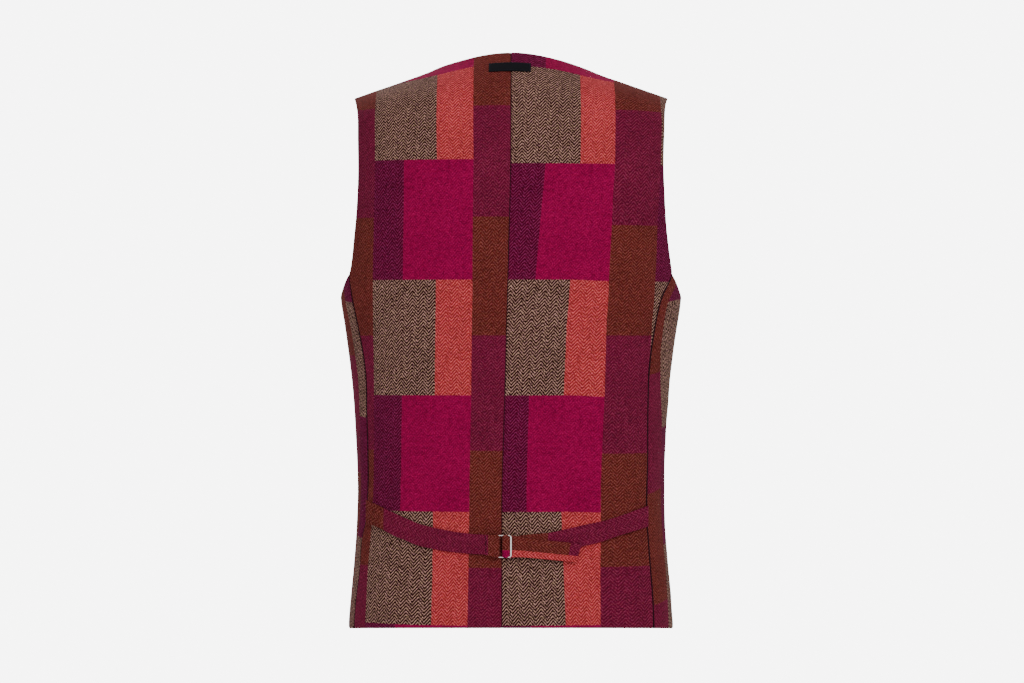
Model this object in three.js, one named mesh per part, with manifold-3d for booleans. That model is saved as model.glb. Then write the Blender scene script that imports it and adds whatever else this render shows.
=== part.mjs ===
// A tailored waistcoat, standing open as it is worn, cut from a checked herringbone cloth.
// Millimetres, +Z up. The wearer faces -Y and the wearer's left is +X.
// Heights in the tables are measured up from the back hem. The model's origin lies
// between the two shoulders, where their inner faces rest on the wearer.
import * as THREE from "three";
import { mergeVertices } from "three/addons/utils/BufferGeometryUtils.js";
import Module from "manifold-3d";

const wasm = await Module();
wasm.setup();

// Cloth and seams
const WALL = 2.5;
const SEAM_GAP = 0.3;
const HALF_GAP = SEAM_GAP / 2;
const REST_HEIGHT = 539;
const REST_DEPTH = -10;

// Neck, shoulders and their ridge
const NECK_HALF_WIDTH = 86;
const NECK_BACK_HEIGHT = 572;
const NECK_BACK_DEPTH = 52;
const NECK_DROP = 18.5;
const NECK_DROP_POWER = 1.7;
const RIDGE_DEPTH = -8;
const SHOULDER_LENGTH_X = 73;
const SHOULDER_DROP = 24.5;
const SHOULDER_FORWARD = 4;
const NECK_SHARE = 0.6;
const COLUMN_SPREAD = 0.3;
const BACK_BEND_HEIGHT = 495;
const FRONT_BEND_HEIGHT = 480;
const NECK_TILT = 40;
const NECKLINE_SLANT = 0.38;
const ARMHOLE_SLANT = 0.04;
const CHEST_SLANT = 0.28;
const NECK_CURL = 0.7;

// Hem: it dips towards the front, and the front ends in a small point beside the opening
const BACK_HEM_DEPTH = 104;
const HEM_DIP = 0.072;
const OVERLAP = 17;
const NECKLINE_BREAK = 295;
const UNDERARM_TOP = 351;

// The right front lies under the left one along the opening
const UNDER_DEPTH = WALL + 0.5;
const UNDER_FULL = 24;
const UNDER_FADE = 46;

// Grid of each panel
const SEAM_ROWS = 14;
const BACK_COLUMNS = 10;
const BLADE_ROWS = 6;
const BACK_CAP_ROWS = 7;
const FRONT_COLUMNS = 20;
const ARMHOLE_COLUMN = 15;
const CHEST_ROWS = 7;
const FRONT_CAP_ROWS = 6;

// Body form, a row for each height: half width, depths of back and front, roundness of
// both, where the centre back seam lies, and how far out each side seam lies
const FORM_COLUMNS = [
  "height", "half", "back", "front", "backPower", "frontPower", "centre", "seamLeft", "seamRight",
];
const FORM_ROWS = [
  [-30, 166.5, 104.5, 119, 2.3, 2.2, 9, 158.5, 143],
  [0, 164, 104, 118, 2.3, 2.2, 9, 157, 142],
  [25, 161.8, 103, 117, 2.3, 2.2, 9, 155.2, 141.2],
  [50, 159.5, 101, 115.5, 2.3, 2.2, 9, 151.8, 139.4],
  [85, 156.8, 99, 113, 2.35, 2.2, 9, 149, 136.6],
  [105, 155.9, 98.3, 112, 2.35, 2.2, 9, 144.6, 135.2],
  [135, 155.2, 98, 112, 2.35, 2.2, 9, 142.8, 135.2],
  [170, 155.8, 98.7, 113, 2.35, 2.2, 8, 142.8, 136],
  [215, 158.6, 102, 116, 2.4, 2.2, 6.5, 143.8, 136],
  [255, 162, 106, 119.5, 2.4, 2.25, 5.5, 145, 137.2],
  [295, 167.6, 110.5, 123, 2.4, 2.3, 4.5, 151.6, 142.4],
  [325, 172, 113.5, 124.5, 2.4, 2.3, 3.5, 158, 149],
  [355, 172.6, 115, 124, 2.4, 2.3, 2.8, 162, 162],
  [404, 171, 116.5, 120, 2.4, 2.3, 1.6, 165, 163],
  [460, 168.5, 116.5, 109.5, 2.45, 2.3, 0.2, 165, 163],
  [495, 167, 114.5, 98, 2.5, 2.3, 0, 165, 163],
];

// Back armhole: how far out the edge lies at each height, up to the bend of the shoulder
const BACK_ARMHOLE_COLUMNS = ["height", "out"];
const BACK_ARMHOLE_ROWS = [
  [UNDERARM_TOP, 161.6],
  [364, 159.6],
  [384, 157.2],
  [404, 155.2],
  [430, 153.6],
  [460, 152.7],
  [BACK_BEND_HEIGHT, 153.4],
];

// Top of the lower front: from the neckline's break to the armhole's lowest stretch
const FRONT_TOP_COLUMNS = ["share", "height"];
const FRONT_TOP_ROWS = [
  [0, NECKLINE_BREAK],
  [0.27, 307],
  [0.53, 325],
  [0.65, 334],
  [0.75, 337],
  [0.8, 331],
  [0.86, 328],
  [0.93, 334],
  [1, UNDERARM_TOP],
];

// Front armhole: degrees that the edge moves towards the chest above the underarm
const FRONT_ARMHOLE_COLUMNS = ["height", "turn"];
const FRONT_ARMHOLE_ROWS = [
  [337, 0],
  [347, 6],
  [365, 10.8],
  [395, 14],
  [435, 13.4],
  [FRONT_BEND_HEIGHT, 10],
];

// Neckline of the front: how far out its edge lies above the break
const NECKLINE_COLUMNS = ["height", "out"];
const NECKLINE_ROWS = [
  [NECKLINE_BREAK, -OVERLAP],
  [315, -8],
  [350, 7.5],
  [390, 24],
  [430, 40],
  [FRONT_BEND_HEIGHT, 58.5],
];

// Hem of the front by angle round the body, from the opening edge to the side
const FRONT_HEM_COLUMNS = ["angle", "height"];
const FRONT_HEM_ROWS = [
  [-100, 13],
  [-75, -15.5],
  [-40, -14],
  [0, -BACK_HEM_DEPTH * HEM_DIP],
];

// Soft drag folds, along a line from one place to another on the body form. Angles are
// degrees round the body from the wearer's left towards the back, widths and depths in mm
const FOLD_COLUMNS = ["angle", "height", "endAngle", "endHeight", "width", "depth"];
const FOLD_ROWS = [
  [34, 150, 64, 196, 15, 1.5],
  [30, 66, 60, 36, 17, 1.4],
  [43, 196, 74, 250, 19, 1.1],
  [146, 148, 118, 186, 14, 1.4],
  [150, 70, 124, 30, 18, 1.6],
  [136, 200, 106, 262, 20, 1.0],
  [97, 120, 80, 160, 16, 0.8],
  [-35, 150, -66, 206, 18, 1.6],
  [-28, 90, -62, 60, 20, 1.5],
  [-38, 330, -66, 392, 20, 1.4],
  [214, 142, 244, 190, 17, 1.5],
  [209, 96, 246, 66, 19, 1.3],
  [219, 336, 247, 386, 22, 1.5],
];
const FOLD_RADIUS = 130;

// Belts: each station gives the upper and the lower edge of the strap across the back,
// and the lift of its middle layer above the cloth
const STRAP_THICKNESS = 1.6;
const STRAP_LIFT = 1.3;
const TAIL_LIFT = 3.4;
const BELT_COLUMNS = ["upperX", "upperHeight", "lowerX", "lowerHeight", "lift"];
const BELT_LEFT_ROWS = [
  [144, 124.2, 144, 101.2, STRAP_LIFT],
  [136, 121.4, 136, 99, STRAP_LIFT],
  [128, 118, 128, 96, STRAP_LIFT],
  [116, 112.6, 116, 90, STRAP_LIFT],
  [104, 107.5, 104, 85.4, STRAP_LIFT],
  [91, 102.4, 91, 80.4, STRAP_LIFT],
  [78, 99, 78, 77.8, STRAP_LIFT],
  [64, 96.2, 64, 75.5, STRAP_LIFT],
  [50, 94, 50, 74, STRAP_LIFT],
  [38, 92.7, 38, 73, STRAP_LIFT],
  [30, 92.2, 30, 72.6, STRAP_LIFT + 0.4],
  [25, 91.9, 25, 72.2, TAIL_LIFT + 0.1],
  [19, 91, 19, 71.6, TAIL_LIFT + 1],
];
const BELT_RIGHT_ROWS = [
  [-136, 119, -136, 98.2, STRAP_LIFT],
  [-125, 115.4, -125, 95, STRAP_LIFT],
  [-113, 111.4, -113, 92, STRAP_LIFT],
  [-100, 107.4, -100, 88, STRAP_LIFT],
  [-88, 104.3, -88, 84.1, STRAP_LIFT],
  [-75, 101.9, -75, 81.4, STRAP_LIFT],
  [-62, 99, -62, 78.4, STRAP_LIFT],
  [-50, 96.4, -50, 75.8, STRAP_LIFT],
  [-38, 94, -38, 73.6, STRAP_LIFT],
  [-24, 92.8, -24, 72.3, STRAP_LIFT],
  [-12, 91.6, -12, 71.6, STRAP_LIFT],
  [-3, 90.1, -3, 70.9, STRAP_LIFT],
];
const TAIL_ROWS = [
  [1, 90, 1, 70.9, TAIL_LIFT + 0.75],
  [-4, 89.5, -4, 70.9, TAIL_LIFT + 0.1],
  [-14, 88.5, -14, 69.9, TAIL_LIFT],
  [-30, 86.9, -29, 68.2, TAIL_LIFT],
  [-44, 85.4, -42, 66.8, TAIL_LIFT],
  [-57, 84, -54, 65.6, TAIL_LIFT + 0.1],
  [-69, 82, -63.4, 64.7, TAIL_LIFT + 0.6],
];

// Buckle: a bowed wire slide of three bars
const BUCKLE_RAIL_UPPER = 91.2;
const BUCKLE_RAIL_LOWER = 69.8;
const BAR_RADIUS = 0.8;
const BAR_SIDES = 8;
const CORNER_GROWTH = 1.02;
const BAR_CLEARANCE = 0.3;
const BAR_LIFT = STRAP_LIFT + STRAP_THICKNESS / 2 + BAR_CLEARANCE + BAR_RADIUS;
const TURN_RADIUS = BAR_RADIUS + BAR_CLEARANCE + STRAP_THICKNESS / 2;
const LEFT_BAR_X = 13.5;
const CENTRE_BAR_X = 6.2;
const RIGHT_BAR_X = 0;
const RIGHT_BAR_LIFT = 6.3;
const TURN_STEPS = 6;
const STRAP_IN_BUCKLE = { upper: 90.1, lower: 70.9 };
const FOLDED_END_X = 25.5;

// Label sewn below the back neck
const LABEL_LEFT_X = 22;
const LABEL_RIGHT_X = -19.8;
const LABEL_START = 0.675;
const LABEL_END = 0.81;
const LABEL_THICKNESS = 1;
const LABEL_LIFT = 0.35;
const LABEL_COLUMNS = 6;
const LABEL_ROWS = 2;

// Buttons down the opening
const BUTTON_RADIUS = 7.5;
const BUTTON_THICKNESS = 3;
const BUTTON_HEIGHTS = [275, 219, 163, 107, 51];
const BUTTON_LIFT = 0.35;
const BUTTON_HOLE_RADIUS = 0.9;
const BUTTON_HOLE_SPACING = 1.5;
const BUTTON_HOLE_SIDES = 8;
const BUTTON_SIDES = 20;

// Profile of a button from its back to its front: how far inside the rim, and the share of
// the thickness
const BUTTON_PROFILE_COLUMNS = ["inset", "rise"];
const BUTTON_PROFILE_ROWS = [
  [BUTTON_RADIUS, 0],
  [1.6, 0],
  [0, 0.45],
  [0.3, 0.85],
  [1.1, 1],
  [2.2, 0.8],
  [2.9, 0.62],
  [BUTTON_RADIUS, 0.6],
];

// Points closer than this are one corner when solids are joined or cut
const MERGE_DISTANCE = 1e-4;

const lerp = (from, to, share) => from + (to - from) * share;
const degrees = (value) => (value * Math.PI) / 180;

function smooth(value) {
  const share = Math.min(Math.max(value, 0), 1);
  return share * share * (3 - 2 * share);
}

function namedRows(columns, rows) {
  return rows.map((row) => Object.fromEntries(columns.map((name, index) => [name, row[index]])));
}

// Straight interpolation of one column of a table by its first column
function straightLookup(table, key, name, at) {
  let index = 0;
  while (index < table.length - 2 && at > table[index + 1][key]) index += 1;
  const low = table[index];
  const high = table[index + 1];
  const share = Math.min(Math.max((at - low[key]) / (high[key] - low[key]), 0), 1);
  return lerp(low[name], high[name], share);
}

// Slope of a column at a row, from its neighbours
function slopeAt(table, key, name, index) {
  const before = table[Math.max(index - 1, 0)];
  const after = table[Math.min(index + 1, table.length - 1)];
  return (after[name] - before[name]) / (after[key] - before[key]);
}

// Smooth interpolation of one column of a table by its first column
function curveLookup(table, key, name, at) {
  let index = 0;
  while (index < table.length - 2 && at > table[index + 1][key]) index += 1;
  const low = table[index];
  const high = table[index + 1];
  const span = high[key] - low[key];
  const t = Math.min(Math.max((at - low[key]) / span, 0), 1);
  const slopeLow = slopeAt(table, key, name, index) * span;
  const slopeHigh = slopeAt(table, key, name, index + 1) * span;
  return hermite(low[name], high[name], slopeLow, slopeHigh, t);
}

function hermite(from, to, slopeFrom, slopeTo, t) {
  const square = t * t;
  const cube = square * t;
  const rise = 3 * square - 2 * cube;
  return from * (1 - rise) + to * rise + slopeFrom * (cube - 2 * square + t) + slopeTo * (cube - square);
}

const form = namedRows(FORM_COLUMNS, FORM_ROWS);
const backArmhole = namedRows(BACK_ARMHOLE_COLUMNS, BACK_ARMHOLE_ROWS);
const frontTop = namedRows(FRONT_TOP_COLUMNS, FRONT_TOP_ROWS);
const frontArmhole = namedRows(FRONT_ARMHOLE_COLUMNS, FRONT_ARMHOLE_ROWS);
const neckline = namedRows(NECKLINE_COLUMNS, NECKLINE_ROWS);
const frontHem = namedRows(FRONT_HEM_COLUMNS, FRONT_HEM_ROWS);
const folds = namedRows(FOLD_COLUMNS, FOLD_ROWS);

const formAt = (name, height) => curveLookup(form, "height", name, height);

// Level section of the body form: a rounded oval, deeper or shallower in front and behind.
// The angle is degrees from the side seam's side (0) to the back (90) or the front (-90)
function sectionPoint(side, angle, height) {
  const turn = degrees(angle);
  const behind = Math.sin(turn) >= 0;
  const depth = formAt(behind ? "back" : "front", height);
  const power = formAt(behind ? "backPower" : "frontPower", height);
  const across = Math.abs(Math.cos(turn)) / formAt("half", height);
  const along = Math.abs(Math.sin(turn)) / depth;
  const reach = (across ** power + along ** power) ** (-1 / power);
  return new THREE.Vector3(side * reach * Math.cos(turn), reach * Math.sin(turn), height);
}

// Angle at which the section lies a given distance out, behind or in front
function angleAtOut(out, height, behind) {
  const depth = formAt(behind ? "back" : "front", height);
  const power = formAt(behind ? "backPower" : "frontPower", height);
  const share = Math.abs(out) / formAt("half", height);
  const away = depth * (1 - share ** power) ** (1 / power);
  return THREE.MathUtils.radToDeg(Math.atan2(behind ? away : -away, out));
}

// Depth of the soft folds at a place on the body form
function foldDepth(side, angle, height) {
  const around = side > 0 ? angle : 180 - angle;
  const scale = degrees(1) * FOLD_RADIUS;
  let depth = 0;
  for (const fold of folds) {
    const alongX = (fold.endAngle - fold.angle) * scale;
    const alongZ = fold.endHeight - fold.height;
    const offsetX = (around - fold.angle) * scale;
    const offsetZ = height - fold.height;
    const lengthSquared = alongX * alongX + alongZ * alongZ;
    const share = (offsetX * alongX + offsetZ * alongZ) / lengthSquared;
    const across = (offsetX * alongZ - offsetZ * alongX) / Math.sqrt(lengthSquared);
    const fade = Math.exp(-((2 * share - 1) ** 4));
    depth += fold.depth * fade * Math.exp(-((across / fold.width) ** 2));
  }
  return depth;
}

function normalFrom(side, alongFirst, alongSecond) {
  return new THREE.Vector3().crossVectors(alongFirst, alongSecond).normalize().multiplyScalar(side);
}

// Place on the cloth below the shoulders, moved out of its outer face by the lift
function clothPoint(side, angle, height, lift) {
  const angleStep = 0.2;
  const heightStep = 1;
  const ahead = sectionPoint(side, angle + angleStep, height);
  const behind = sectionPoint(side, angle - angleStep, height);
  const above = sectionPoint(side, angle, height + heightStep);
  const below = sectionPoint(side, angle, height - heightStep);
  const normal = normalFrom(side, ahead.sub(behind), above.sub(below));
  const shift = lift - foldDepth(side, angle, height);
  return sectionPoint(side, angle, height).addScaledVector(normal, shift);
}

// Neck edge and shoulder ridge, from the centre back (0) past the neck (NECK_SHARE) to the tip (1)
function ridgePoint(side, across) {
  if (across <= NECK_SHARE) {
    const turn = degrees((90 * across) / NECK_SHARE);
    const drop = NECK_DROP * Math.abs(Math.sin(turn)) ** NECK_DROP_POWER;
    const depth = lerp(RIDGE_DEPTH, NECK_BACK_DEPTH, Math.cos(turn));
    return new THREE.Vector3(side * NECK_HALF_WIDTH * Math.sin(turn), depth, NECK_BACK_HEIGHT - drop);
  }
  const share = (across - NECK_SHARE) / (1 - NECK_SHARE);
  const out = NECK_HALF_WIDTH + SHOULDER_LENGTH_X * share;
  const height = NECK_BACK_HEIGHT - NECK_DROP - SHOULDER_DROP * share;
  return new THREE.Vector3(side * out, RIDGE_DEPTH - SHOULDER_FORWARD * share, height);
}

function bentCurve(start, end, startDirection, endDirection, share) {
  const reach = start.distanceTo(end);
  const axes = ["x", "y", "z"].map((axis) =>
    hermite(start[axis], end[axis], startDirection[axis] * reach, endDirection[axis] * reach, share));
  return new THREE.Vector3(...axes);
}

const spreadColumns = (across) => across * (1 + COLUMN_SPREAD * (1 - across));

// Upper back, bending over the shoulder blade up to the neck edge and the ridge
function backCapSurface(side, across, share) {
  const edgeOut = curveLookup(backArmhole, "height", "out", BACK_BEND_HEIGHT);
  const edge = angleAtOut(edgeOut, BACK_BEND_HEIGHT, true);
  const angle = lerp(90, edge, spreadColumns(across));
  const start = sectionPoint(side, angle, BACK_BEND_HEIGHT);
  const end = ridgePoint(side, across);
  end.y += across >= NECK_SHARE ? HALF_GAP : 0;
  const tilt = degrees(NECK_TILT * (1 - smooth(across / NECK_SHARE)));
  const nearNeckPoint = 1 - Math.min(Math.abs(across - NECK_SHARE) / (1 - NECK_SHARE), 1);
  const inwards = NECK_CURL * smooth(nearNeckPoint);
  const rise = Math.sin(tilt) + (inwards * SHOULDER_DROP) / SHOULDER_LENGTH_X;
  const endDirection = new THREE.Vector3(-side * inwards, -Math.cos(tilt), rise);
  return bentCurve(start, end, new THREE.Vector3(0, 0, 1), endDirection, share);
}

// Upper front, bending back over the collar bone up to the ridge; across runs from neckline to armhole
function frontCapSurface(side, across, share, startAngle, endAngle) {
  const start = sectionPoint(side, lerp(startAngle, endAngle, across), FRONT_BEND_HEIGHT);
  const end = ridgePoint(side, lerp(NECK_SHARE, 1, across));
  end.y -= HALF_GAP;
  const startDirection = new THREE.Vector3(side * lerp(NECKLINE_SLANT, ARMHOLE_SLANT, across), CHEST_SLANT, 1);
  return bentCurve(start, end, startDirection, new THREE.Vector3(0, 1, 0), share);
}

function capPoint(surface, side, across, share, lift, facing) {
  const step = 0.004;
  const along = surface(across + step, share).sub(surface(across - step, share));
  const up = surface(across, share + step).sub(surface(across, share - step));
  const normal = normalFrom(side * facing, along, up);
  return surface(across, share).addScaledVector(normal, lift);
}

// Closed wall over a grid of places. placeAt(column, row, lift) gives a point, and
// isCloth(column, row) says which grid cells are cloth
function sheetGeometry(columns, rows, wall, placeAt, isCloth) {
  const vertices = [];
  const index = new Map();
  const vertexAt = (column, row, lift) => {
    const key = `${column},${row},${lift}`;
    if (!index.has(key)) {
      index.set(key, vertices.length);
      vertices.push(placeAt(column, row, lift));
    }
    return index.get(key);
  };
  const faces = [];
  const edges = new Map();
  const addQuad = (a, b, c, d) => {
    const first = vertices[a].distanceTo(vertices[c]);
    const second = vertices[b].distanceTo(vertices[d]);
    if (first <= second) faces.push([a, b, c], [a, c, d]);
    else faces.push([a, b, d], [b, c, d]);
  };
  for (let column = 0; column < columns; column += 1) {
    for (let row = 0; row < rows; row += 1) {
      if (!isCloth(column, row)) continue;
      const corners = [[column, row], [column + 1, row], [column + 1, row + 1], [column, row + 1]];
      const outer = corners.map(([c, r]) => vertexAt(c, r, 0));
      const inner = corners.map(([c, r]) => vertexAt(c, r, -wall));
      addQuad(...outer);
      addQuad(...[...inner].reverse());
      corners.forEach((corner, place) => {
        const next = (place + 1) % corners.length;
        const forward = `${outer[place]}>${outer[next]}`;
        const backward = `${outer[next]}>${outer[place]}`;
        if (edges.has(backward)) edges.delete(backward);
        else edges.set(forward, [outer[place], outer[next], inner[next], inner[place]]);
      });
    }
  }
  for (const [a, b, c, d] of edges.values()) addQuad(b, a, d, c);
  return outwardGeometry(vertices, faces);
}

function signedVolume(vertices, faces) {
  const cross = new THREE.Vector3();
  return faces.reduce((sum, [a, b, c]) => sum + vertices[a].dot(cross.crossVectors(vertices[b], vertices[c])), 0);
}

function outwardGeometry(vertices, faces) {
  const outward = signedVolume(vertices, faces) > 0;
  const turned = faces.map(([a, b, c]) => (outward ? [a, b, c] : [a, c, b]));
  const geometry = new THREE.BufferGeometry();
  geometry.setAttribute("position", new THREE.Float32BufferAttribute(vertices.flatMap((v) => v.toArray()), 3));
  geometry.setIndex(turned.flat());
  geometry.computeVertexNormals();
  return geometry;
}

// Angle of the side seam, and height of the hem at an angle
const seamNameOf = (side) => (side > 0 ? "seamLeft" : "seamRight");
const seamAngle = (side, height) => angleAtOut(formAt(seamNameOf(side), height), height, true);

function hemHeight(side, angle) {
  if (angle < 0) return straightLookup(frontHem, "angle", "height", angle);
  return -(BACK_HEM_DEPTH - sectionPoint(side, angle, 0).y) * HEM_DIP;
}

// Half of the back, from the centre back seam to the side seam and the armhole
function backPanel(side) {
  const backSurface = (across, share) => backCapSurface(side, across, share);
  const centreAngle = (height) => angleAtOut(side * formAt("centre", height), height, true);
  const armholeAngle = (height) => angleAtOut(curveLookup(backArmhole, "height", "out", height), height, true);
  const lowerPlace = (column, row) => {
    const share = row / SEAM_ROWS;
    const heightAt = (place) => {
      const hemAngle = lerp(centreAngle(0), seamAngle(side, 0), spreadColumns(place / BACK_COLUMNS));
      return lerp(hemHeight(side, hemAngle), UNDERARM_TOP, share);
    };
    const across = spreadColumns(column / BACK_COLUMNS);
    const end = seamAngle(side, heightAt(BACK_COLUMNS));
    return { angle: lerp(centreAngle(heightAt(0)), end, across), height: heightAt(column) };
  };
  const bladePlace = (column, row) => {
    const height = lerp(UNDERARM_TOP, BACK_BEND_HEIGHT, (row - SEAM_ROWS) / BLADE_ROWS);
    const across = spreadColumns(column / BACK_COLUMNS);
    return { angle: lerp(centreAngle(height), armholeAngle(height), across), height };
  };
  const bendRow = SEAM_ROWS + BLADE_ROWS;
  const placeAt = (column, row, lift) => {
    if (row > bendRow) {
      const share = (row - bendRow) / BACK_CAP_ROWS;
      const point = capPoint(backSurface, side, column / BACK_COLUMNS, share, lift, -1);
      if (column === 0) point.x = side * HALF_GAP;
      return point;
    }
    const { angle, height } = row <= SEAM_ROWS ? lowerPlace(column, row) : bladePlace(column, row);
    const point = clothPoint(side, angle, height, lift);
    const gapDirection = clothPoint(side, angle + 1, height, lift).sub(point).normalize();
    if (column === 0) point.addScaledVector(gapDirection, -HALF_GAP);
    if (column === BACK_COLUMNS && row <= SEAM_ROWS) point.addScaledVector(gapDirection, HALF_GAP);
    return point;
  };
  return sheetGeometry(BACK_COLUMNS, bendRow + BACK_CAP_ROWS, WALL, placeAt, () => true);
}

// How far the under front sinks behind the upper one, by its distance from the centre front
function underSink(side, out) {
  return side < 0 ? UNDER_DEPTH * (1 - smooth((out - UNDER_FULL) / UNDER_FADE)) : 0;
}

// One front, from its opening edge and neckline to the side seam and the armhole
function frontPanel(side) {
  const armholeShare = ARMHOLE_COLUMN / FRONT_COLUMNS;
  const openingAngle = (height) => angleAtOut(-OVERLAP, height, false);
  const breakAngle = openingAngle(NECKLINE_BREAK);
  const underarmAngle = lerp(breakAngle, seamAngle(side, UNDERARM_TOP), armholeShare);
  const necklineAngle = (height) => angleAtOut(curveLookup(neckline, "height", "out", height), height, false);
  const armholeAngle = (height) => underarmAngle - curveLookup(frontArmhole, "height", "turn", height);
  const topHeight = (column) => curveLookup(frontTop, "share", "height", column / FRONT_COLUMNS);
  const chestRow = SEAM_ROWS + CHEST_ROWS;
  const capSurface = (across, share) =>
    frontCapSurface(side, across, share, necklineAngle(FRONT_BEND_HEIGHT), armholeAngle(FRONT_BEND_HEIGHT));

  const lowerPlace = (column, row) => {
    const share = row / SEAM_ROWS;
    const heightAt = (place) => {
      const top = topHeight(place);
      const hemAngle = lerp(openingAngle(0), seamAngle(side, 0), place / FRONT_COLUMNS);
      return lerp(hemHeight(side, hemAngle), top, share);
    };
    const start = openingAngle(heightAt(0));
    const end = seamAngle(side, heightAt(FRONT_COLUMNS));
    return { angle: lerp(start, end, column / FRONT_COLUMNS), height: heightAt(column) };
  };
  const chestPlace = (column, row) => {
    const share = (row - SEAM_ROWS) / CHEST_ROWS;
    const heightAt = (place) => lerp(topHeight(place), FRONT_BEND_HEIGHT, share);
    const start = necklineAngle(heightAt(0));
    const end = armholeAngle(heightAt(ARMHOLE_COLUMN));
    return { angle: lerp(start, end, column / ARMHOLE_COLUMN), height: heightAt(column) };
  };
  const placeAt = (column, row, lift) => {
    if (row > chestRow) {
      const share = (row - chestRow) / FRONT_CAP_ROWS;
      return capPoint(capSurface, side, column / ARMHOLE_COLUMN, share, lift, 1);
    }
    const { angle, height } = row <= SEAM_ROWS ? lowerPlace(column, row) : chestPlace(column, row);
    const sink = underSink(side, side * sectionPoint(side, angle, height).x);
    const point = clothPoint(side, angle, height, lift - sink);
    if (column === FRONT_COLUMNS) {
      const gapDirection = clothPoint(side, angle + 1, height, lift - sink).sub(point).normalize();
      point.addScaledVector(gapDirection, -HALF_GAP);
    }
    return point;
  };
  const isCloth = (column, row) => row < SEAM_ROWS || column < ARMHOLE_COLUMN;
  return sheetGeometry(FRONT_COLUMNS, chestRow + FRONT_CAP_ROWS, WALL, placeAt, isCloth);
}

// Place on the back, a distance across and up it, moved out by the lift
function backPlace(x, height, lift) {
  const side = x >= 0 ? 1 : -1;
  return clothPoint(side, angleAtOut(Math.abs(x), height, true), height, lift);
}

// Strap that follows stations across the back. Its two faces lie either side of the
// path that x and the lift draw, so that it can turn back round a bar
function strapGeometry(stations) {
  const half = STRAP_THICKNESS / 2;
  const corners = stations.map((station, place) => {
    const before = stations[Math.max(place - 1, 0)];
    const after = stations[Math.min(place + 1, stations.length - 1)];
    const alongX = after.upperX + after.lowerX - before.upperX - before.lowerX;
    const along = new THREE.Vector2(alongX / 2, after.lift - before.lift).normalize();
    const faces = [half, -half].map((offset) => [
      backPlace(station.upperX - along.y * offset, station.upperHeight, station.lift + along.x * offset),
      backPlace(station.lowerX - along.y * offset, station.lowerHeight, station.lift + along.x * offset),
    ]);
    return [faces[0][0], faces[0][1], faces[1][1], faces[1][0]];
  });
  const vertices = corners.flat();
  const faces = [[0, 1, 2], [0, 2, 3]];
  for (let place = 0; place < corners.length - 1; place += 1) {
    for (let corner = 0; corner < 4; corner += 1) {
      const a = place * 4 + corner;
      const b = place * 4 + ((corner + 1) % 4);
      faces.push([a, a + 4, b + 4], [a, b + 4, b]);
    }
  }
  const last = (corners.length - 1) * 4;
  faces.push([last, last + 2, last + 1], [last, last + 3, last + 2]);
  return outwardGeometry(vertices, faces);
}

// Station of a strap where it is as narrow as the buckle lets it be
function stationInBuckle(x, lift) {
  const { upper, lower } = STRAP_IN_BUCKLE;
  return { upperX: x, upperHeight: upper, lowerX: x, lowerHeight: lower, lift };
}

// Stations of the half turn round a bar, from one layer to the other
function turnStations(barX, towards, startsAbove) {
  return Array.from({ length: TURN_STEPS + 1 }, (_, step) => {
    const turn = Math.PI * (step / TURN_STEPS);
    const x = barX + towards * TURN_RADIUS * Math.sin(turn);
    const rise = TURN_RADIUS * Math.cos(turn) * (startsAbove ? 1 : -1);
    return stationInBuckle(x, BAR_LIFT + rise);
  });
}

function beltLeft() {
  const layer = namedRows(BELT_COLUMNS, BELT_LEFT_ROWS);
  const foldedEnd = stationInBuckle(FOLDED_END_X, BAR_LIFT - TURN_RADIUS);
  return strapGeometry([...layer, ...turnStations(LEFT_BAR_X, -1, true), foldedEnd]);
}

function beltRight() {
  const layer = namedRows(BELT_COLUMNS, BELT_RIGHT_ROWS);
  const tail = namedRows(BELT_COLUMNS, TAIL_ROWS);
  return strapGeometry([...layer, ...turnStations(CENTRE_BAR_X, 1, false), ...tail]);
}

function toManifold(geometry) {
  const bare = geometry.clone();
  bare.deleteAttribute("normal");
  bare.deleteAttribute("uv");
  const merged = mergeVertices(bare, MERGE_DISTANCE);
  return new wasm.Manifold(new wasm.Mesh({
    numProp: 3,
    vertProperties: Float32Array.from(merged.attributes.position.array),
    triVerts: Uint32Array.from(merged.index.array),
  }));
}

function fromManifold(solid) {
  const mesh = solid.getMesh();
  const geometry = new THREE.BufferGeometry();
  geometry.setAttribute("position", new THREE.Float32BufferAttribute(mesh.vertProperties, 3));
  geometry.setIndex([...mesh.triVerts]);
  geometry.computeVertexNormals();
  return geometry;
}

// Round rod between two points, with a ball at its far end that closes the corner
function rodWithBall(from, to, radius) {
  const along = to.clone().sub(from);
  const rod = new THREE.CylinderGeometry(radius, radius, along.length(), BAR_SIDES);
  const turn = new THREE.Quaternion().setFromUnitVectors(new THREE.Vector3(0, 1, 0), along.clone().normalize());
  rod.applyQuaternion(turn);
  rod.translate(...from.clone().lerp(to, 0.5).toArray());
  const ball = new THREE.SphereGeometry(radius * CORNER_GROWTH, BAR_SIDES, BAR_SIDES / 2);
  ball.translate(...to.toArray());
  return toManifold(rod).add(toManifold(ball));
}

function buckle() {
  const bars = [[LEFT_BAR_X, BAR_LIFT], [CENTRE_BAR_X, BAR_LIFT], [RIGHT_BAR_X, RIGHT_BAR_LIFT]];
  const upper = bars.map(([x, lift]) => backPlace(x, BUCKLE_RAIL_UPPER, lift));
  const lower = bars.map(([x, lift]) => backPlace(x, BUCKLE_RAIL_LOWER, lift));
  const loop = [upper[0], upper[1], upper[2], lower[2], lower[1], lower[0]];
  let solid = rodWithBall(upper[1], lower[1], BAR_RADIUS);
  loop.forEach((point, place) => {
    solid = solid.add(rodWithBall(point, loop[(place + 1) % loop.length], BAR_RADIUS));
  });
  return fromManifold(solid);
}

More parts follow.
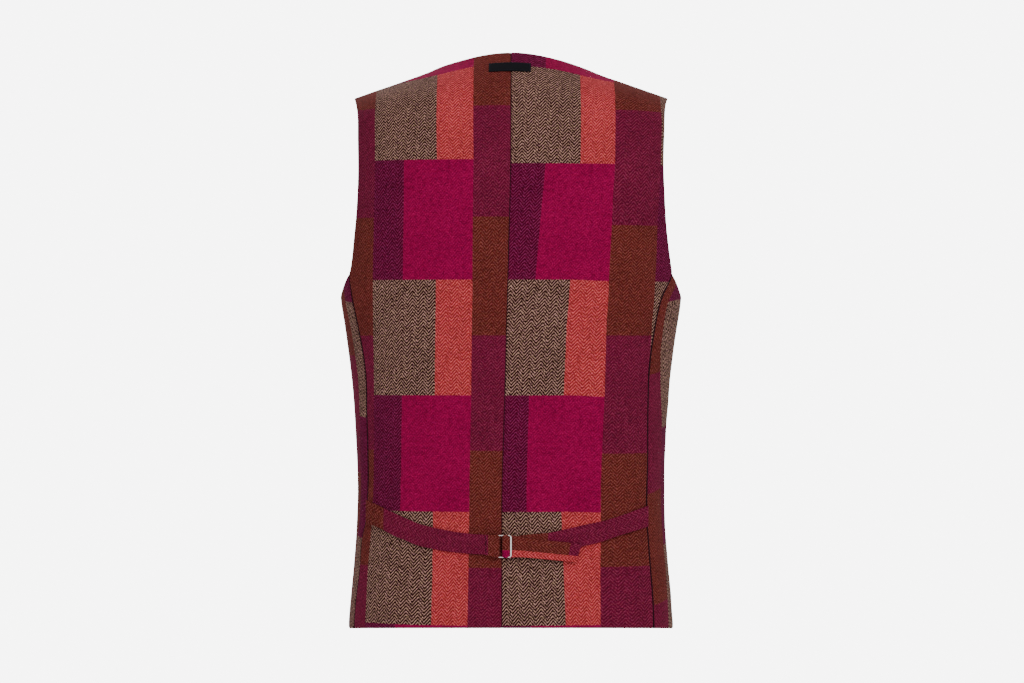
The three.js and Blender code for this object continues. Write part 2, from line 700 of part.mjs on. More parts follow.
function neckLabel() {
  const placeAt = (column, row, lift) => {
    const x = lerp(LABEL_LEFT_X, LABEL_RIGHT_X, column / LABEL_COLUMNS);
    const side = x >= 0 ? 1 : -1;
    const across = (Math.asin(Math.abs(x) / NECK_HALF_WIDTH) / degrees(90)) * NECK_SHARE;
    const share = lerp(LABEL_START, LABEL_END, row / LABEL_ROWS);
    const surface = (place, along) => backCapSurface(side, place, along);
    const point = capPoint(surface, side, across, share, LABEL_LIFT + LABEL_THICKNESS + lift, -1);
    point.x = x;
    return point;
  };
  return sheetGeometry(LABEL_COLUMNS, LABEL_ROWS, LABEL_THICKNESS, placeAt, () => true);
}

function buttonGeometry() {
  const profile = namedRows(BUTTON_PROFILE_COLUMNS, BUTTON_PROFILE_ROWS).map(
    ({ inset, rise }) => new THREE.Vector2(BUTTON_RADIUS - inset, rise * BUTTON_THICKNESS));
  const disc = new THREE.LatheGeometry(profile, BUTTON_SIDES);
  disc.rotateX(Math.PI / 2);
  let solid = toManifold(disc);
  for (const [across, along] of [[1, 1], [1, -1], [-1, 1], [-1, -1]]) {
    const depth = BUTTON_THICKNESS * 3;
    const hole = new THREE.CylinderGeometry(BUTTON_HOLE_RADIUS, BUTTON_HOLE_RADIUS, depth, BUTTON_HOLE_SIDES);
    hole.rotateX(Math.PI / 2);
    hole.translate(across * BUTTON_HOLE_SPACING, along * BUTTON_HOLE_SPACING, 0);
    solid = solid.subtract(toManifold(hole));
  }
  return fromManifold(solid);
}

// Buttons lie on the outer face of the left front, at the middle of the opening
function placeButton(mesh, height) {
  const seat = clothPoint(1, -90, height, BUTTON_LIFT);
  const outward = clothPoint(1, -90, height, BUTTON_LIFT + 1).sub(seat);
  mesh.position.copy(seat);
  mesh.quaternion.setFromUnitVectors(new THREE.Vector3(0, 0, 1), outward.normalize());
}

function material(colour, roughness, metalness) {
  return new THREE.MeshStandardMaterial({ color: colour, roughness, metalness });
}

const waistcoat = new THREE.Group();
waistcoat.position.set(0, -REST_DEPTH, -REST_HEIGHT);

function addPiece(name, geometry, look) {
  const mesh = new THREE.Mesh(geometry, look);
  mesh.name = name;
  waistcoat.add(mesh);
  return mesh;
}

addPiece("back_left", backPanel(1), material(0x851a39, 0.92, 0));
addPiece("back_right", backPanel(-1), material(0x7c1836, 0.92, 0));
addPiece("front_left", frontPanel(1), material(0x652b3a, 0.92, 0));
addPiece("front_right", frontPanel(-1), material(0x5d2535, 0.92, 0));
addPiece("belt_left", beltLeft(), material(0x671a32, 0.92, 0));
addPiece("belt_right", beltRight(), material(0x602720, 0.92, 0));
addPiece("buckle", buckle(), material(0xc4c1bc, 0.28, 1));
addPiece("neck_label", neckLabel(), material(0x12131c, 0.8, 0));
BUTTON_HEIGHTS.forEach((height, place) => {
  const button = addPiece(`button_${place + 1}`, buttonGeometry(), material(0x3a1f1a, 0.35, 0));
  placeButton(button, height);
});

export default waistcoat;
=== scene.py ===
import functools
import math
import random

import bpy
import numpy as np
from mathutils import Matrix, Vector


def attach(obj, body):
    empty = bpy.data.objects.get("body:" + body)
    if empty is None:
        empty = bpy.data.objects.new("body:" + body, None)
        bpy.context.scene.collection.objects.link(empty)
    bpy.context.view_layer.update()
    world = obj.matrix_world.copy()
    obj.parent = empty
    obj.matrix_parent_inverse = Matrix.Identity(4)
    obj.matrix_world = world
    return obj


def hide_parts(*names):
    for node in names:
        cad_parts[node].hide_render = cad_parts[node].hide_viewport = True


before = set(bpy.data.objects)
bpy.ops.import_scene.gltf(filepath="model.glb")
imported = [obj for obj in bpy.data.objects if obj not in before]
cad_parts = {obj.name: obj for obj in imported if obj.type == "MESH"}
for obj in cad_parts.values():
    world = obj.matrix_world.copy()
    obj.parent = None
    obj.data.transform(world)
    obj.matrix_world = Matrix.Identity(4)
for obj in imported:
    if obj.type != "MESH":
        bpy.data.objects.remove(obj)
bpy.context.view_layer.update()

# Sizes here are millimetres. Heights are measured up from the back hem and the wearer's
# left is +X, as in the part's source. MODEL_SHIFT moves that frame to the model's.
MODEL_SHIFT = np.array([0.0, 10.0, -539.0])
MILLIMETRE = 0.001

# Cloth, seams and the driving dimensions of the form
WALL = 2.5
HALF_GAP = 0.15
NECK_HALF_WIDTH = 86.0
NECK_BACK_HEIGHT = 572.0
NECK_BACK_DEPTH = 52.0
NECK_DROP = 18.5
NECK_DROP_POWER = 1.7
RIDGE_DEPTH = -8.0
SHOULDER_LENGTH_X = 73.0
SHOULDER_DROP = 24.5
SHOULDER_FORWARD = 4.0
NECK_SHARE = 0.6
COLUMN_SPREAD = 0.3
BACK_BEND_HEIGHT = 495.0
FRONT_BEND_HEIGHT = 480.0
NECK_TILT = 40.0
NECKLINE_SLANT = 0.38
ARMHOLE_SLANT = 0.04
CHEST_SLANT = 0.28
NECK_CURL = 0.7
BACK_HEM_DEPTH = 104.0
HEM_DIP = 0.072
OVERLAP = 17.0
NECKLINE_BREAK = 295.0
UNDERARM_TOP = 351.0
UNDER_DEPTH = WALL + 0.5
UNDER_FULL = 24.0
UNDER_FADE = 46.0
SEAM_ROWS = 14
BLADE_ROWS = 6
BACK_CAP_ROWS = 7
CHEST_ROWS = 7
FRONT_CAP_ROWS = 6
ARMHOLE_SHARE = 0.75

# Edges are rounded over EDGE_ROUND, down to EDGE_SHARE of the wall at the very edge, with rows
# of points at EDGE_STEPS from it. Elsewhere the points lie CLOTH_STEP apart
EDGE_ROUND = 1.6
EDGE_SHARE = 0.22
EDGE_STEPS = (0.0, 0.12, 0.4, 0.9, 1.6)
CLOTH_STEP = 3.0
CORNER_ROUND = 8.0

# Rough size of each part of a panel, which sets how many points it has
BACK_WIDTH = 168
BACK_LOWER = 352
BACK_BLADE = 144
BACK_CAP = 104
FRONT_WIDTH = 255
FRONT_LOWER = 350
FRONT_CHEST = 160
FRONT_CAP = 112

# How deep the cloth is pressed at seams and hem, and how far from them that reaches. The
# back's side edges stand up a little instead. Panels draw apart over SEAM_BEVEL at a seam
SIDE_PRESS = 1.7
SIDE_ROLL = 0.5
CENTRE_PRESS = 0.5
SEAM_REACH = 2.4
SEAM_BEVEL = 2.0
HEM_PRESS = 1.1
HEM_REACH = 2.5

# Creases die out over CREASE_MARGIN from an edge, ripples over OPENING_MARGIN from the opening
CREASE_MARGIN = 14.0
OPENING_MARGIN = 20.0
RIPPLE_WAVES = 9
RIPPLE_LENGTHS = (34, 90)
RIPPLE_HEIGHT = 0.07
BACK_SEED = 11
FRONT_SEED = 21

# Radius of the dark thread in the centre and shoulder seams and in the side seams, and for both threads of a
# side seam the place across the front and the depth. This dark thread is painted seam shade: it darkens the
# gaps between the panels, and the side threads draw the shadow line beside the back's edge.
SEAM_SHADE_THREAD = 0.45
SIDE_SHADE_THREAD = 0.7
SIDE_SHADE_THREADS = ((0.996, 0.75), (1.0, 1.85))
THREAD_SIDES = 8


def table(columns, rows):
    return {name: np.array([row[place] for row in rows], float) for place, name in enumerate(columns)}


# Body form by height: half width, depths and roundness of back and front, and the seams
FORM = table(
    ["height", "half", "back", "front", "backPower", "frontPower", "centre", "seamLeft", "seamRight"],
    [
        [-30, 166.5, 104.5, 119, 2.3, 2.2, 9, 158.5, 143],
        [0, 164, 104, 118, 2.3, 2.2, 9, 157, 142],
        [25, 161.8, 103, 117, 2.3, 2.2, 9, 155.2, 141.2],
        [50, 159.5, 101, 115.5, 2.3, 2.2, 9, 151.8, 139.4],
        [85, 156.8, 99, 113, 2.35, 2.2, 9, 149, 136.6],
        [105, 155.9, 98.3, 112, 2.35, 2.2, 9, 144.6, 135.2],
        [135, 155.2, 98, 112, 2.35, 2.2, 9, 142.8, 135.2],
        [170, 155.8, 98.7, 113, 2.35, 2.2, 8, 142.8, 136],
        [215, 158.6, 102, 116, 2.4, 2.2, 6.5, 143.8, 136],
        [255, 162, 106, 119.5, 2.4, 2.25, 5.5, 145, 137.2],
        [295, 167.6, 110.5, 123, 2.4, 2.3, 4.5, 151.6, 142.4],
        [325, 172, 113.5, 124.5, 2.4, 2.3, 3.5, 158, 149],
        [355, 172.6, 115, 124, 2.4, 2.3, 2.8, 162, 162],
        [404, 171, 116.5, 120, 2.4, 2.3, 1.6, 165, 163],
        [460, 168.5, 116.5, 109.5, 2.45, 2.3, 0.2, 165, 163],
        [495, 167, 114.5, 98, 2.5, 2.3, 0, 165, 163],
    ])
BACK_ARMHOLE = table(["height", "out"], [
    [UNDERARM_TOP, 161.6],
    [364, 159.6],
    [384, 157.2],
    [404, 155.2],
    [430, 153.6],
    [460, 152.7],
    [BACK_BEND_HEIGHT, 153.4],
])
FRONT_TOP = table(["share", "height"], [
    [0, NECKLINE_BREAK],
    [0.27, 307],
    [0.53, 325],
    [0.65, 334],
    [0.75, 337],
    [0.8, 331],
    [0.86, 328],
    [0.93, 334],
    [1, UNDERARM_TOP],
])
FRONT_ARMHOLE = table(["height", "turn"], [
    [337, 0],
    [347, 6],
    [365, 10.8],
    [395, 14],
    [435, 13.4],
    [FRONT_BEND_HEIGHT, 10],
])
NECKLINE = table(["height", "out"], [
    [NECKLINE_BREAK, -OVERLAP],
    [315, -8],
    [350, 7.5],
    [390, 24],
    [430, 40],
    [FRONT_BEND_HEIGHT, 58.5],
])
FRONT_HEM = table(["angle", "height"], [
    [-100, 13],
    [-75, -15.5],
    [-40, -14],
    [0, -BACK_HEM_DEPTH * HEM_DIP],
])

# Soft folds of the solids: a line from one place to another round the body
FOLD_COLUMNS = ["angle", "height", "endAngle", "endHeight", "width", "depth"]
FOLDS = table(FOLD_COLUMNS, [
    [34, 150, 64, 196, 15, 1.5],
    [30, 66, 60, 36, 17, 1.4],
    [43, 196, 74, 250, 19, 1.1],
    [146, 148, 118, 186, 14, 1.4],
    [150, 70, 124, 30, 18, 1.6],
    [136, 200, 106, 262, 20, 1.0],
    [97, 120, 80, 160, 16, 0.8],
    [-35, 150, -66, 206, 18, 1.6],
    [-28, 90, -62, 60, 20, 1.5],
    [-38, 330, -66, 392, 20, 1.4],
    [214, 142, 244, 190, 17, 1.5],
    [209, 96, 246, 66, 19, 1.3],
    [219, 336, 247, 386, 22, 1.5],
])
FOLD_RADIUS = 130.0

# Finer creases laid over them: drag lines at the strap roots, ripples below the armholes and
# across the small of the back, and pulls at the buttons. A negative depth is a ridge.
CREASES = table(FOLD_COLUMNS, [
    [153, 124, 144.5, 157, 4.5, 1.7],
    [148, 122, 139.5, 151, 4.5, -1.1],
    [27, 126, 34, 153, 4, 1.3],
    [32, 126, 39, 150, 4, -0.8],
    [30, 128, 52, 152, 5, 0.7],
    [29, 137, 56, 174, 4, -0.5],
    [31, 97, 50, 76, 5, 0.6],
    [30, 88, 46, 58, 4, -0.4],
    [150, 126, 130, 148, 5, 0.7],
    [151, 134, 126, 166, 4, -0.5],
    [149, 94, 131, 72, 5, 0.6],
    [58, 132, 84, 141, 5, -0.4],
    [122, 124, 98, 133, 5, 0.4],
    [33, 322, 58, 296, 7, 0.7],
    [30, 300, 50, 270, 6, -0.5],
    [147, 318, 124, 292, 7, 0.7],
    [150, 296, 130, 262, 6, -0.5],
    [40, 412, 64, 452, 10, 0.7],
    [140, 418, 114, 456, 10, 0.7],
    [88, 40, 76, 12, 9, 0.5],
    [104, 60, 112, 20, 9, -0.5],
    [-84, 219, -60, 226, 6, 0.7],
    [-84, 163, -56, 158, 6, 0.7],
    [-84, 107, -58, 96, 6, 0.6],
    [264, 163, 238, 171, 6, 0.7],
    [264, 219, 240, 212, 6, 0.6],
    [264, 107, 236, 101, 6, 0.6],
    [-30, 300, -52, 322, 8, 0.8],
    [-26, 262, -50, 288, 9, -0.6],
    [210, 296, 232, 320, 8, 0.8],
    [206, 258, 230, 286, 9, -0.6],
    [-70, 40, -60, 6, 10, 0.7],
    [250, 44, 240, 8, 10, 0.7],
])

# Belts: upper and lower edge of the strap at each station, and its lift above the cloth
STRAP_THICKNESS = 1.6
STRAP_WIDTH = 21
STRAP_STEP = 1.6
STRAP_COLUMN_STEP = 1.5
STRAP_EDGE_SHARPNESS = 1.5
STRAP_PRESS_PLACE = 2.2
STRAP_PRESS_REACH = 0.9
STRAP_PRESS_SHARE = 0.16
STRAP_LIFT = 1.3
TAIL_LIFT = 3.4
BELT_COLUMNS = ["upperX", "upperHeight", "lowerX", "lowerHeight", "lift"]
BELT_LEFT_ROWS = [
    [144, 124.2, 144, 101.2, STRAP_LIFT],
    [136, 121.4, 136, 99, STRAP_LIFT],
    [128, 118, 128, 96, STRAP_LIFT],
    [116, 112.6, 116, 90, STRAP_LIFT],
    [104, 107.5, 104, 85.4, STRAP_LIFT],
    [91, 102.4, 91, 80.4, STRAP_LIFT],
    [78, 99, 78, 77.8, STRAP_LIFT],
    [64, 96.2, 64, 75.5, STRAP_LIFT],
    [50, 94, 50, 74, STRAP_LIFT],
    [38, 92.7, 38, 73, STRAP_LIFT],
    [30, 92.2, 30, 72.6, STRAP_LIFT + 0.4],
    [25, 91.9, 25, 72.2, TAIL_LIFT + 0.1],
    [19, 91.8, 19, 70.6, TAIL_LIFT + 1],
]
BELT_RIGHT_ROWS = [
    [-136, 119, -136, 98.2, STRAP_LIFT],
    [-125, 115.4, -125, 95, STRAP_LIFT],
    [-113, 111.4, -113, 92, STRAP_LIFT],
    [-100, 107.4, -100, 88, STRAP_LIFT],
    [-88, 104.3, -88, 84.1, STRAP_LIFT],
    [-75, 101.9, -75, 81.4, STRAP_LIFT],
    [-62, 99, -62, 78.4, STRAP_LIFT],
    [-50, 96.4, -50, 75.8, STRAP_LIFT],
    [-38, 94, -38, 73.6, STRAP_LIFT],
    [-24, 92.8, -24, 72.3, STRAP_LIFT],
    [-12, 91.6, -12, 71.6, STRAP_LIFT],
    [-3, 90.1, -3, 70.9, STRAP_LIFT],
]
TAIL_ROWS = [
    [2.4, 91.9, 2.4, 69.1, TAIL_LIFT + 1.1],
    [-4, 90.6, -4, 69.8, TAIL_LIFT + 0.5],
    [-14, 88.9, -14, 69.5, TAIL_LIFT],
    [-30, 86.9, -29, 68.2, TAIL_LIFT],
    [-44, 85.4, -42, 66.8, TAIL_LIFT],
    [-57, 84, -54, 65.6, TAIL_LIFT + 0.1],
    [-69, 82, -63.4, 64.7, TAIL_LIFT + 0.6],
]

# Buckle
BUCKLE_RAIL_UPPER = 91.2
BUCKLE_RAIL_LOWER = 69.8
BAR_RADIUS = 0.8
RAIL_RADIUS = 0.45
BAR_CLEARANCE = 0.3
BAR_LIFT = STRAP_LIFT + STRAP_THICKNESS / 2 + BAR_CLEARANCE + BAR_RADIUS
TURN_RADIUS = BAR_RADIUS + BAR_CLEARANCE + STRAP_THICKNESS / 2
LEFT_BAR_X = 13.5
CENTRE_BAR_X = 6.2
RIGHT_BAR_X = 0.0
RIGHT_BAR_LIFT = 6.3
BUCKLE_BEND = 2.6
BEND_STEPS = 8
WIRE_SIDES = 14
RAIL_START = 0.75
RAIL_FADE = 0.2
TURN_STEPS = 12
STRAP_BULGE = 1.7
STRAP_UPPER = 90.1
STRAP_LOWER = 70.9
FOLDED_END_X = 25.5

# Label
LABEL_LEFT_X = 22.0
LABEL_RIGHT_X = -19.8
LABEL_START = 0.675
LABEL_END = 0.81
LABEL_WIDTH = LABEL_LEFT_X - LABEL_RIGHT_X
LABEL_LENGTH = 14.2
LABEL_THICKNESS = 1.0
LABEL_LIFT = 0.35
LABEL_STEP = 0.9
LABEL_SEWN = 1.3
LABEL_CORNER = 1.2
LABEL_UV_LENGTH = 105

# Stitches: length, gap and thread radius
LABEL_STITCH = (1.7, 0.6, 0.16)
STRAP_STITCH = (1.5, 0.35, 0.3)

# Buttons. THREAD_ARCH is the path of a strand over the dish, across it and above it
BUTTON_RADIUS = 7.5
BUTTON_SIDES = 64
BUTTON_HOLE_SIDES = 20
BUTTON_DISH = 0.62
THREAD_ARCH = ((-1.6, -0.4), (-1.5, 0.15), (-0.8, 0.42), (0, 0.5), (0.8, 0.42), (1.5, 0.15), (1.6, -0.4))
STRAND_RADIUS = 0.17
STRAND_PLACES = (-0.28, 0, 0.28)
STRAND_STRAY = 0.05
STEM_RADIUS = 1.3
STEM_RISES = (-0.35, 0.0, 0.3)
BUTTONHOLE_MIDDLE = 1.5
BUTTONHOLE_REACH = 9.5
BUTTONHOLE_STITCHES = 34
BUTTONHOLE_THREAD = 0.27
BUTTONHOLE_SLIT = 0.25
BUTTONHOLE_ARCH = ((0, -0.1), (0.5, 0.32), (1, -0.1))
BUTTON_THICKNESS = 3.0
BUTTON_HEIGHTS = [275, 219, 163, 107, 51]
BUTTON_LIFT = 0.35
BUTTON_HOLE_RADIUS = 0.9
BUTTON_HOLE_SPACING = 1.5
BUTTON_PROFILE = [
    [BUTTON_RADIUS, 0],
    [1.6, 0],
    [0.5, 0.14],
    [0, 0.42],
    [0.02, 0.66],
    [0.3, 0.86],
    [0.7, 0.97],
    [1.1, 1],
    [1.6, 0.95],
    [2.2, 0.79],
    [2.9, 0.63],
    [BUTTON_RADIUS, 0.6],
]


def smooth(value):
    share = np.clip(value, 0, 1)
    return share * share * (3 - 2 * share)


def lerp(start, end, share):
    return start + (end - start) * share


def hermite(start, end, slope_start, slope_end, share):
    square = share * share
    cube = square * share
    rise = 3 * square - 2 * cube
    bend = slope_start * (cube - 2 * square + share) + slope_end * (cube - square)
    return start * (1 - rise) + end * rise + bend


def curve_lookup(rows, key, name, at):
    """Smooth interpolation of one column of a table by another, as in the part's source."""
    keys, values = rows[key], rows[name]
    at = np.asarray(at, float)
    low = np.clip(np.searchsorted(keys, at, side="left") - 1, 0, len(keys) - 2)
    places = np.arange(len(keys))
    before = np.maximum(places - 1, 0)
    after = np.minimum(places + 1, len(keys) - 1)
    slopes = (values[after] - values[before]) / (keys[after] - keys[before])
    span = keys[low + 1] - keys[low]
    share = np.clip((at - keys[low]) / span, 0, 1)
    return hermite(values[low], values[low + 1], slopes[low] * span, slopes[low + 1] * span, share)


def form_at(name, height):
    return curve_lookup(FORM, "height", name, height)


def vectors(x, y, z):
    return np.stack(np.broadcast_arrays(x, y, z), axis=-1).astype(float)


def unit(v):
    return v / np.maximum(np.linalg.norm(v, axis=-1, keepdims=True), 1e-9)


def section_point(side, angle, height):
    turn = np.radians(angle)
    behind = np.sin(turn) >= 0
    depth = np.where(behind, form_at("back", height), form_at("front", height))
    power = np.where(behind, form_at("backPower", height), form_at("frontPower", height))
    across = np.abs(np.cos(turn)) / form_at("half", height)
    along = np.abs(np.sin(turn)) / depth
    reach = (across ** power + along ** power) ** (-1 / power)
    return vectors(side * reach * np.cos(turn), reach * np.sin(turn), height)


def angle_at_out(out, height, behind):
    depth = form_at("back" if behind else "front", height)
    power = form_at("backPower" if behind else "frontPower", height)
    share = np.minimum(np.abs(out) / form_at("half", height), 1)
    away = depth * (1 - share ** power) ** (1 / power)
    return np.degrees(np.arctan2(away if behind else -away, out))


def fold_depth(folds, side, angle, height):
    around = np.where(np.asarray(side) > 0, angle, 180 - np.asarray(angle))
    scale = math.radians(1) * FOLD_RADIUS
    depth = np.zeros(np.broadcast(around, height).shape)
    for place in range(len(folds["angle"])):
        along_x = (folds["endAngle"][place] - folds["angle"][place]) * scale
        along_z = folds["endHeight"][place] - folds["height"][place]
        offset_x = (around - folds["angle"][place]) * scale
        offset_z = height - folds["height"][place]
        length = along_x ** 2 + along_z ** 2
        share = (offset_x * along_x + offset_z * along_z) / length
        across = (offset_x * along_z - offset_z * along_x) / math.sqrt(length)
        fade = np.exp(-((2 * share - 1) ** 4))
        depth += folds["depth"][place] * fade * np.exp(-((across / folds["width"][place]) ** 2))
    return depth


def normals(side, ahead, above):
    return unit(np.cross(ahead, above)) * np.asarray(side, float)[..., None]


def cloth_point(side, angle, height, lift):
    """Place on the cloth below the shoulders, moved out of its outer face by the lift."""
    ahead = section_point(side, angle + 0.2, height) - section_point(side, angle - 0.2, height)
    above = section_point(side, angle, height + 1) - section_point(side, angle, height - 1)
    shift = lift - fold_depth(FOLDS, side, angle, height)
    return section_point(side, angle, height) + normals(side, ahead, above) * shift[..., None]


def ridge_point(side, across):
    turn = np.radians(90 * across / NECK_SHARE)
    drop = NECK_DROP * np.abs(np.sin(turn)) ** NECK_DROP_POWER
    depth = lerp(RIDGE_DEPTH, NECK_BACK_DEPTH, np.cos(turn))
    neck = vectors(side * NECK_HALF_WIDTH * np.sin(turn), depth, NECK_BACK_HEIGHT - drop)
    share = (across - NECK_SHARE) / (1 - NECK_SHARE)
    out = NECK_HALF_WIDTH + SHOULDER_LENGTH_X * share
    height = NECK_BACK_HEIGHT - NECK_DROP - SHOULDER_DROP * share
    shoulder = vectors(side * out, RIDGE_DEPTH - SHOULDER_FORWARD * share, height)
    return np.where((across <= NECK_SHARE)[..., None], neck, shoulder)


def bent_curve(start, end, start_direction, end_direction, share):
    reach = np.linalg.norm(end - start, axis=-1, keepdims=True)
    return hermite(start, end, start_direction * reach, end_direction * reach, share[..., None])


def spread_columns(across):
    return across * (1 + COLUMN_SPREAD * (1 - across))


def back_cap_surface(side, across, share):
    across, share = np.broadcast_arrays(across, share)
    edge_out = curve_lookup(BACK_ARMHOLE, "height", "out", BACK_BEND_HEIGHT)
    edge = angle_at_out(edge_out, BACK_BEND_HEIGHT, True)
    start = section_point(side, lerp(90, edge, spread_columns(across)), BACK_BEND_HEIGHT)
    end = ridge_point(side, across)
    end[..., 1] += np.where(across >= NECK_SHARE, HALF_GAP, 0)
    tilt = np.radians(NECK_TILT * (1 - smooth(across / NECK_SHARE)))
    near_neck_point = 1 - np.minimum(np.abs(across - NECK_SHARE) / (1 - NECK_SHARE), 1)
    inwards = NECK_CURL * smooth(near_neck_point)
    rise = np.sin(tilt) + inwards * SHOULDER_DROP / SHOULDER_LENGTH_X
    end_direction = vectors(-side * inwards, -np.cos(tilt), rise)
    return bent_curve(start, end, np.array([0.0, 0.0, 1.0]), end_direction, share)


def neckline_angle(height):
    return angle_at_out(curve_lookup(NECKLINE, "height", "out", height), height, False)


def seam_angle(side, height):
    name = "seamLeft" if side > 0 else "seamRight"
    return angle_at_out(form_at(name, height), height, True)


def opening_angle(height):
    return angle_at_out(-OVERLAP, height, False)


def front_armhole_angle(side, height):
    underarm = lerp(opening_angle(NECKLINE_BREAK), seam_angle(side, UNDERARM_TOP), ARMHOLE_SHARE)
    return underarm - curve_lookup(FRONT_ARMHOLE, "height", "turn", height)


def front_cap_surface(side, across, share):
    across, share = np.broadcast_arrays(across, share)
    start_angle = neckline_angle(FRONT_BEND_HEIGHT)
    end_angle = front_armhole_angle(side, FRONT_BEND_HEIGHT)
    start = section_point(side, lerp(start_angle, end_angle, across), FRONT_BEND_HEIGHT)
    end = ridge_point(side, lerp(NECK_SHARE, 1, across))
    end[..., 1] -= HALF_GAP
    slant = side * lerp(NECKLINE_SLANT, ARMHOLE_SLANT, across)
    return bent_curve(start, end, vectors(slant, CHEST_SLANT, 1), np.array([0.0, 1.0, 0.0]), share)


def cap_point(surface, side, across, share, lift, facing):
    step = 0.004
    ahead = surface(across + step, share) - surface(across - step, share)
    above = surface(across, share + step) - surface(across, share - step)
    return surface(across, share) + normals(side * facing, ahead, above) * lift[..., None]


def hem_height(side, angle):
    front = np.interp(angle, FRONT_HEM["angle"], FRONT_HEM["height"])
    depth = section_point(side, angle, 0.0)[..., 1]
    return np.where(angle < 0, front, -(BACK_HEM_DEPTH - depth) * HEM_DIP)


def back_points(side, across, row, lift):
    """Points of half of the back. across runs from the centre seam (0) to the side (1), and
    row counts the solid's rows from the hem. Returns them with the folds' angle and height."""
    across, row = np.broadcast_arrays(across, row)
    centre = lambda height: angle_at_out(side * form_at("centre", height), height, True)
    share = row / SEAM_ROWS
    hem_start, hem_end = centre(0.0), seam_angle(side, 0.0)
    height_at = lambda place: lerp(
        hem_height(side, lerp(hem_start, hem_end, spread_columns(place))), UNDERARM_TOP, share)
    low_height = height_at(across)
    low_angle = lerp(centre(height_at(0.0)), seam_angle(side, height_at(1.0)), spread_columns(across))
    blade = np.clip((row - SEAM_ROWS) / BLADE_ROWS, 0, 1)
    high = lerp(UNDERARM_TOP, BACK_BEND_HEIGHT, blade)
    armhole = angle_at_out(curve_lookup(BACK_ARMHOLE, "height", "out", high), high, True)
    high_angle = lerp(centre(high), armhole, spread_columns(across))
    height = np.where(row <= SEAM_ROWS, low_height, high)
    angle = np.where(row <= SEAM_ROWS, low_angle, high_angle)
    body = cloth_point(side, angle, height, lift)
    cap_share = np.clip((row - SEAM_ROWS - BLADE_ROWS) / BACK_CAP_ROWS, 0, 1)
    surface = lambda a, s: back_cap_surface(side, a, s)
    cap = cap_point(surface, side, across, cap_share, lift, -1)
    points = np.where((cap_share > 0)[..., None], cap, body)
    return points, angle, height


def front_points(side, across, row, lift):
    """Points of one front. across runs from the opening (0) past the armhole's edge
    (ARMHOLE_SHARE) to the side seam (1). Returns them with the folds' angle and height."""
    across, row = np.broadcast_arrays(across, row)
    share = row / SEAM_ROWS
    top = lambda place: curve_lookup(FRONT_TOP, "share", "height", place)
    hem_start, hem_end = opening_angle(0.0), seam_angle(side, 0.0)
    height_at = lambda place: lerp(hem_height(side, lerp(hem_start, hem_end, place)), top(place), share)
    low_height = height_at(across)
    low_angle = lerp(opening_angle(height_at(0.0)), seam_angle(side, height_at(1.0)), across)
    chest = np.clip((row - SEAM_ROWS) / CHEST_ROWS, 0, 1)
    chest_height = lambda place: lerp(top(place), FRONT_BEND_HEIGHT, chest)
    high = chest_height(across)
    start = neckline_angle(chest_height(0.0))
    end = front_armhole_angle(side, chest_height(ARMHOLE_SHARE))
    high_angle = lerp(start, end, across / ARMHOLE_SHARE)
    height = np.where(row <= SEAM_ROWS, low_height, high)
    angle = np.where(row <= SEAM_ROWS, low_angle, high_angle)
    out = side * section_point(side, angle, height)[..., 0]
    sink = UNDER_DEPTH * (1 - smooth((out - UNDER_FULL) / UNDER_FADE)) if side < 0 else 0.0
    body = cloth_point(side, angle, height, lift - sink)
    cap_share = np.clip((row - SEAM_ROWS - CHEST_ROWS) / FRONT_CAP_ROWS, 0, 1)
    surface = lambda a, s: front_cap_surface(side, a, s)
    cap = cap_point(surface, side, across / ARMHOLE_SHARE, cap_share, lift, 1)
    points = np.where((cap_share > 0)[..., None], cap, body)
    return points, angle, height


def spaced(start, end, length, step, round_start, round_end):
    """Places from start to end on a line of that length, closer together at a rounded edge."""
    inner = np.linspace(0, length, max(int(length / step), 2) + 1)
    low = EDGE_STEPS[-1] if round_start else 0
    high = length - (EDGE_STEPS[-1] if round_end else 0)
    middle = inner[(inner > low + step * 0.4) & (inner < high - step * 0.4)]
    first = np.array(EDGE_STEPS) if round_start else np.array([0.0])
    last = length - np.array(EDGE_STEPS)[::-1] if round_end else np.array([length])
    places = np.concatenate([first, middle, last])
    return start + (end - start) * places / length


def joined(*parts):
    return np.concatenate([parts[0], *[part[1:] for part in parts[1:]]])


def steps_along(points, axis):
    """Distance along the rows or columns of a grid of points, from its first one."""
    length = np.linalg.norm(np.diff(points, axis=axis), axis=-1)
    start = np.zeros_like(np.take(length, [0], axis=axis))
    return np.concatenate([start, np.cumsum(length, axis=axis)], axis=axis)


def round_off(distance):
    """Share of the wall's thickness that is left at a distance from an edge."""
    inside = np.clip(distance / EDGE_ROUND, 0, 1)
    return EDGE_SHARE + (1 - EDGE_SHARE) * np.sqrt(1 - (1 - inside) ** 2)


def quads_between(a, b, c, d):
    return np.stack([a, b, c, d], axis=-1).reshape(-1, 4)


def round_corner(points, along, up, to_side, to_top):
    """Draws a corner of the cloth in to a soft curve, along the cloth's own directions."""
    inside = (to_side < CORNER_ROUND) & (to_top < CORNER_ROUND)
    reach = np.hypot(CORNER_ROUND - to_side, CORNER_ROUND - to_top)
    pull = np.where(inside & (reach > CORNER_ROUND), 1 - CORNER_ROUND / np.maximum(reach, 1e-6), 0)
    points -= along * (pull * (CORNER_ROUND - to_side))[..., None]
    points -= up * (pull * (CORNER_ROUND - to_top))[..., None]


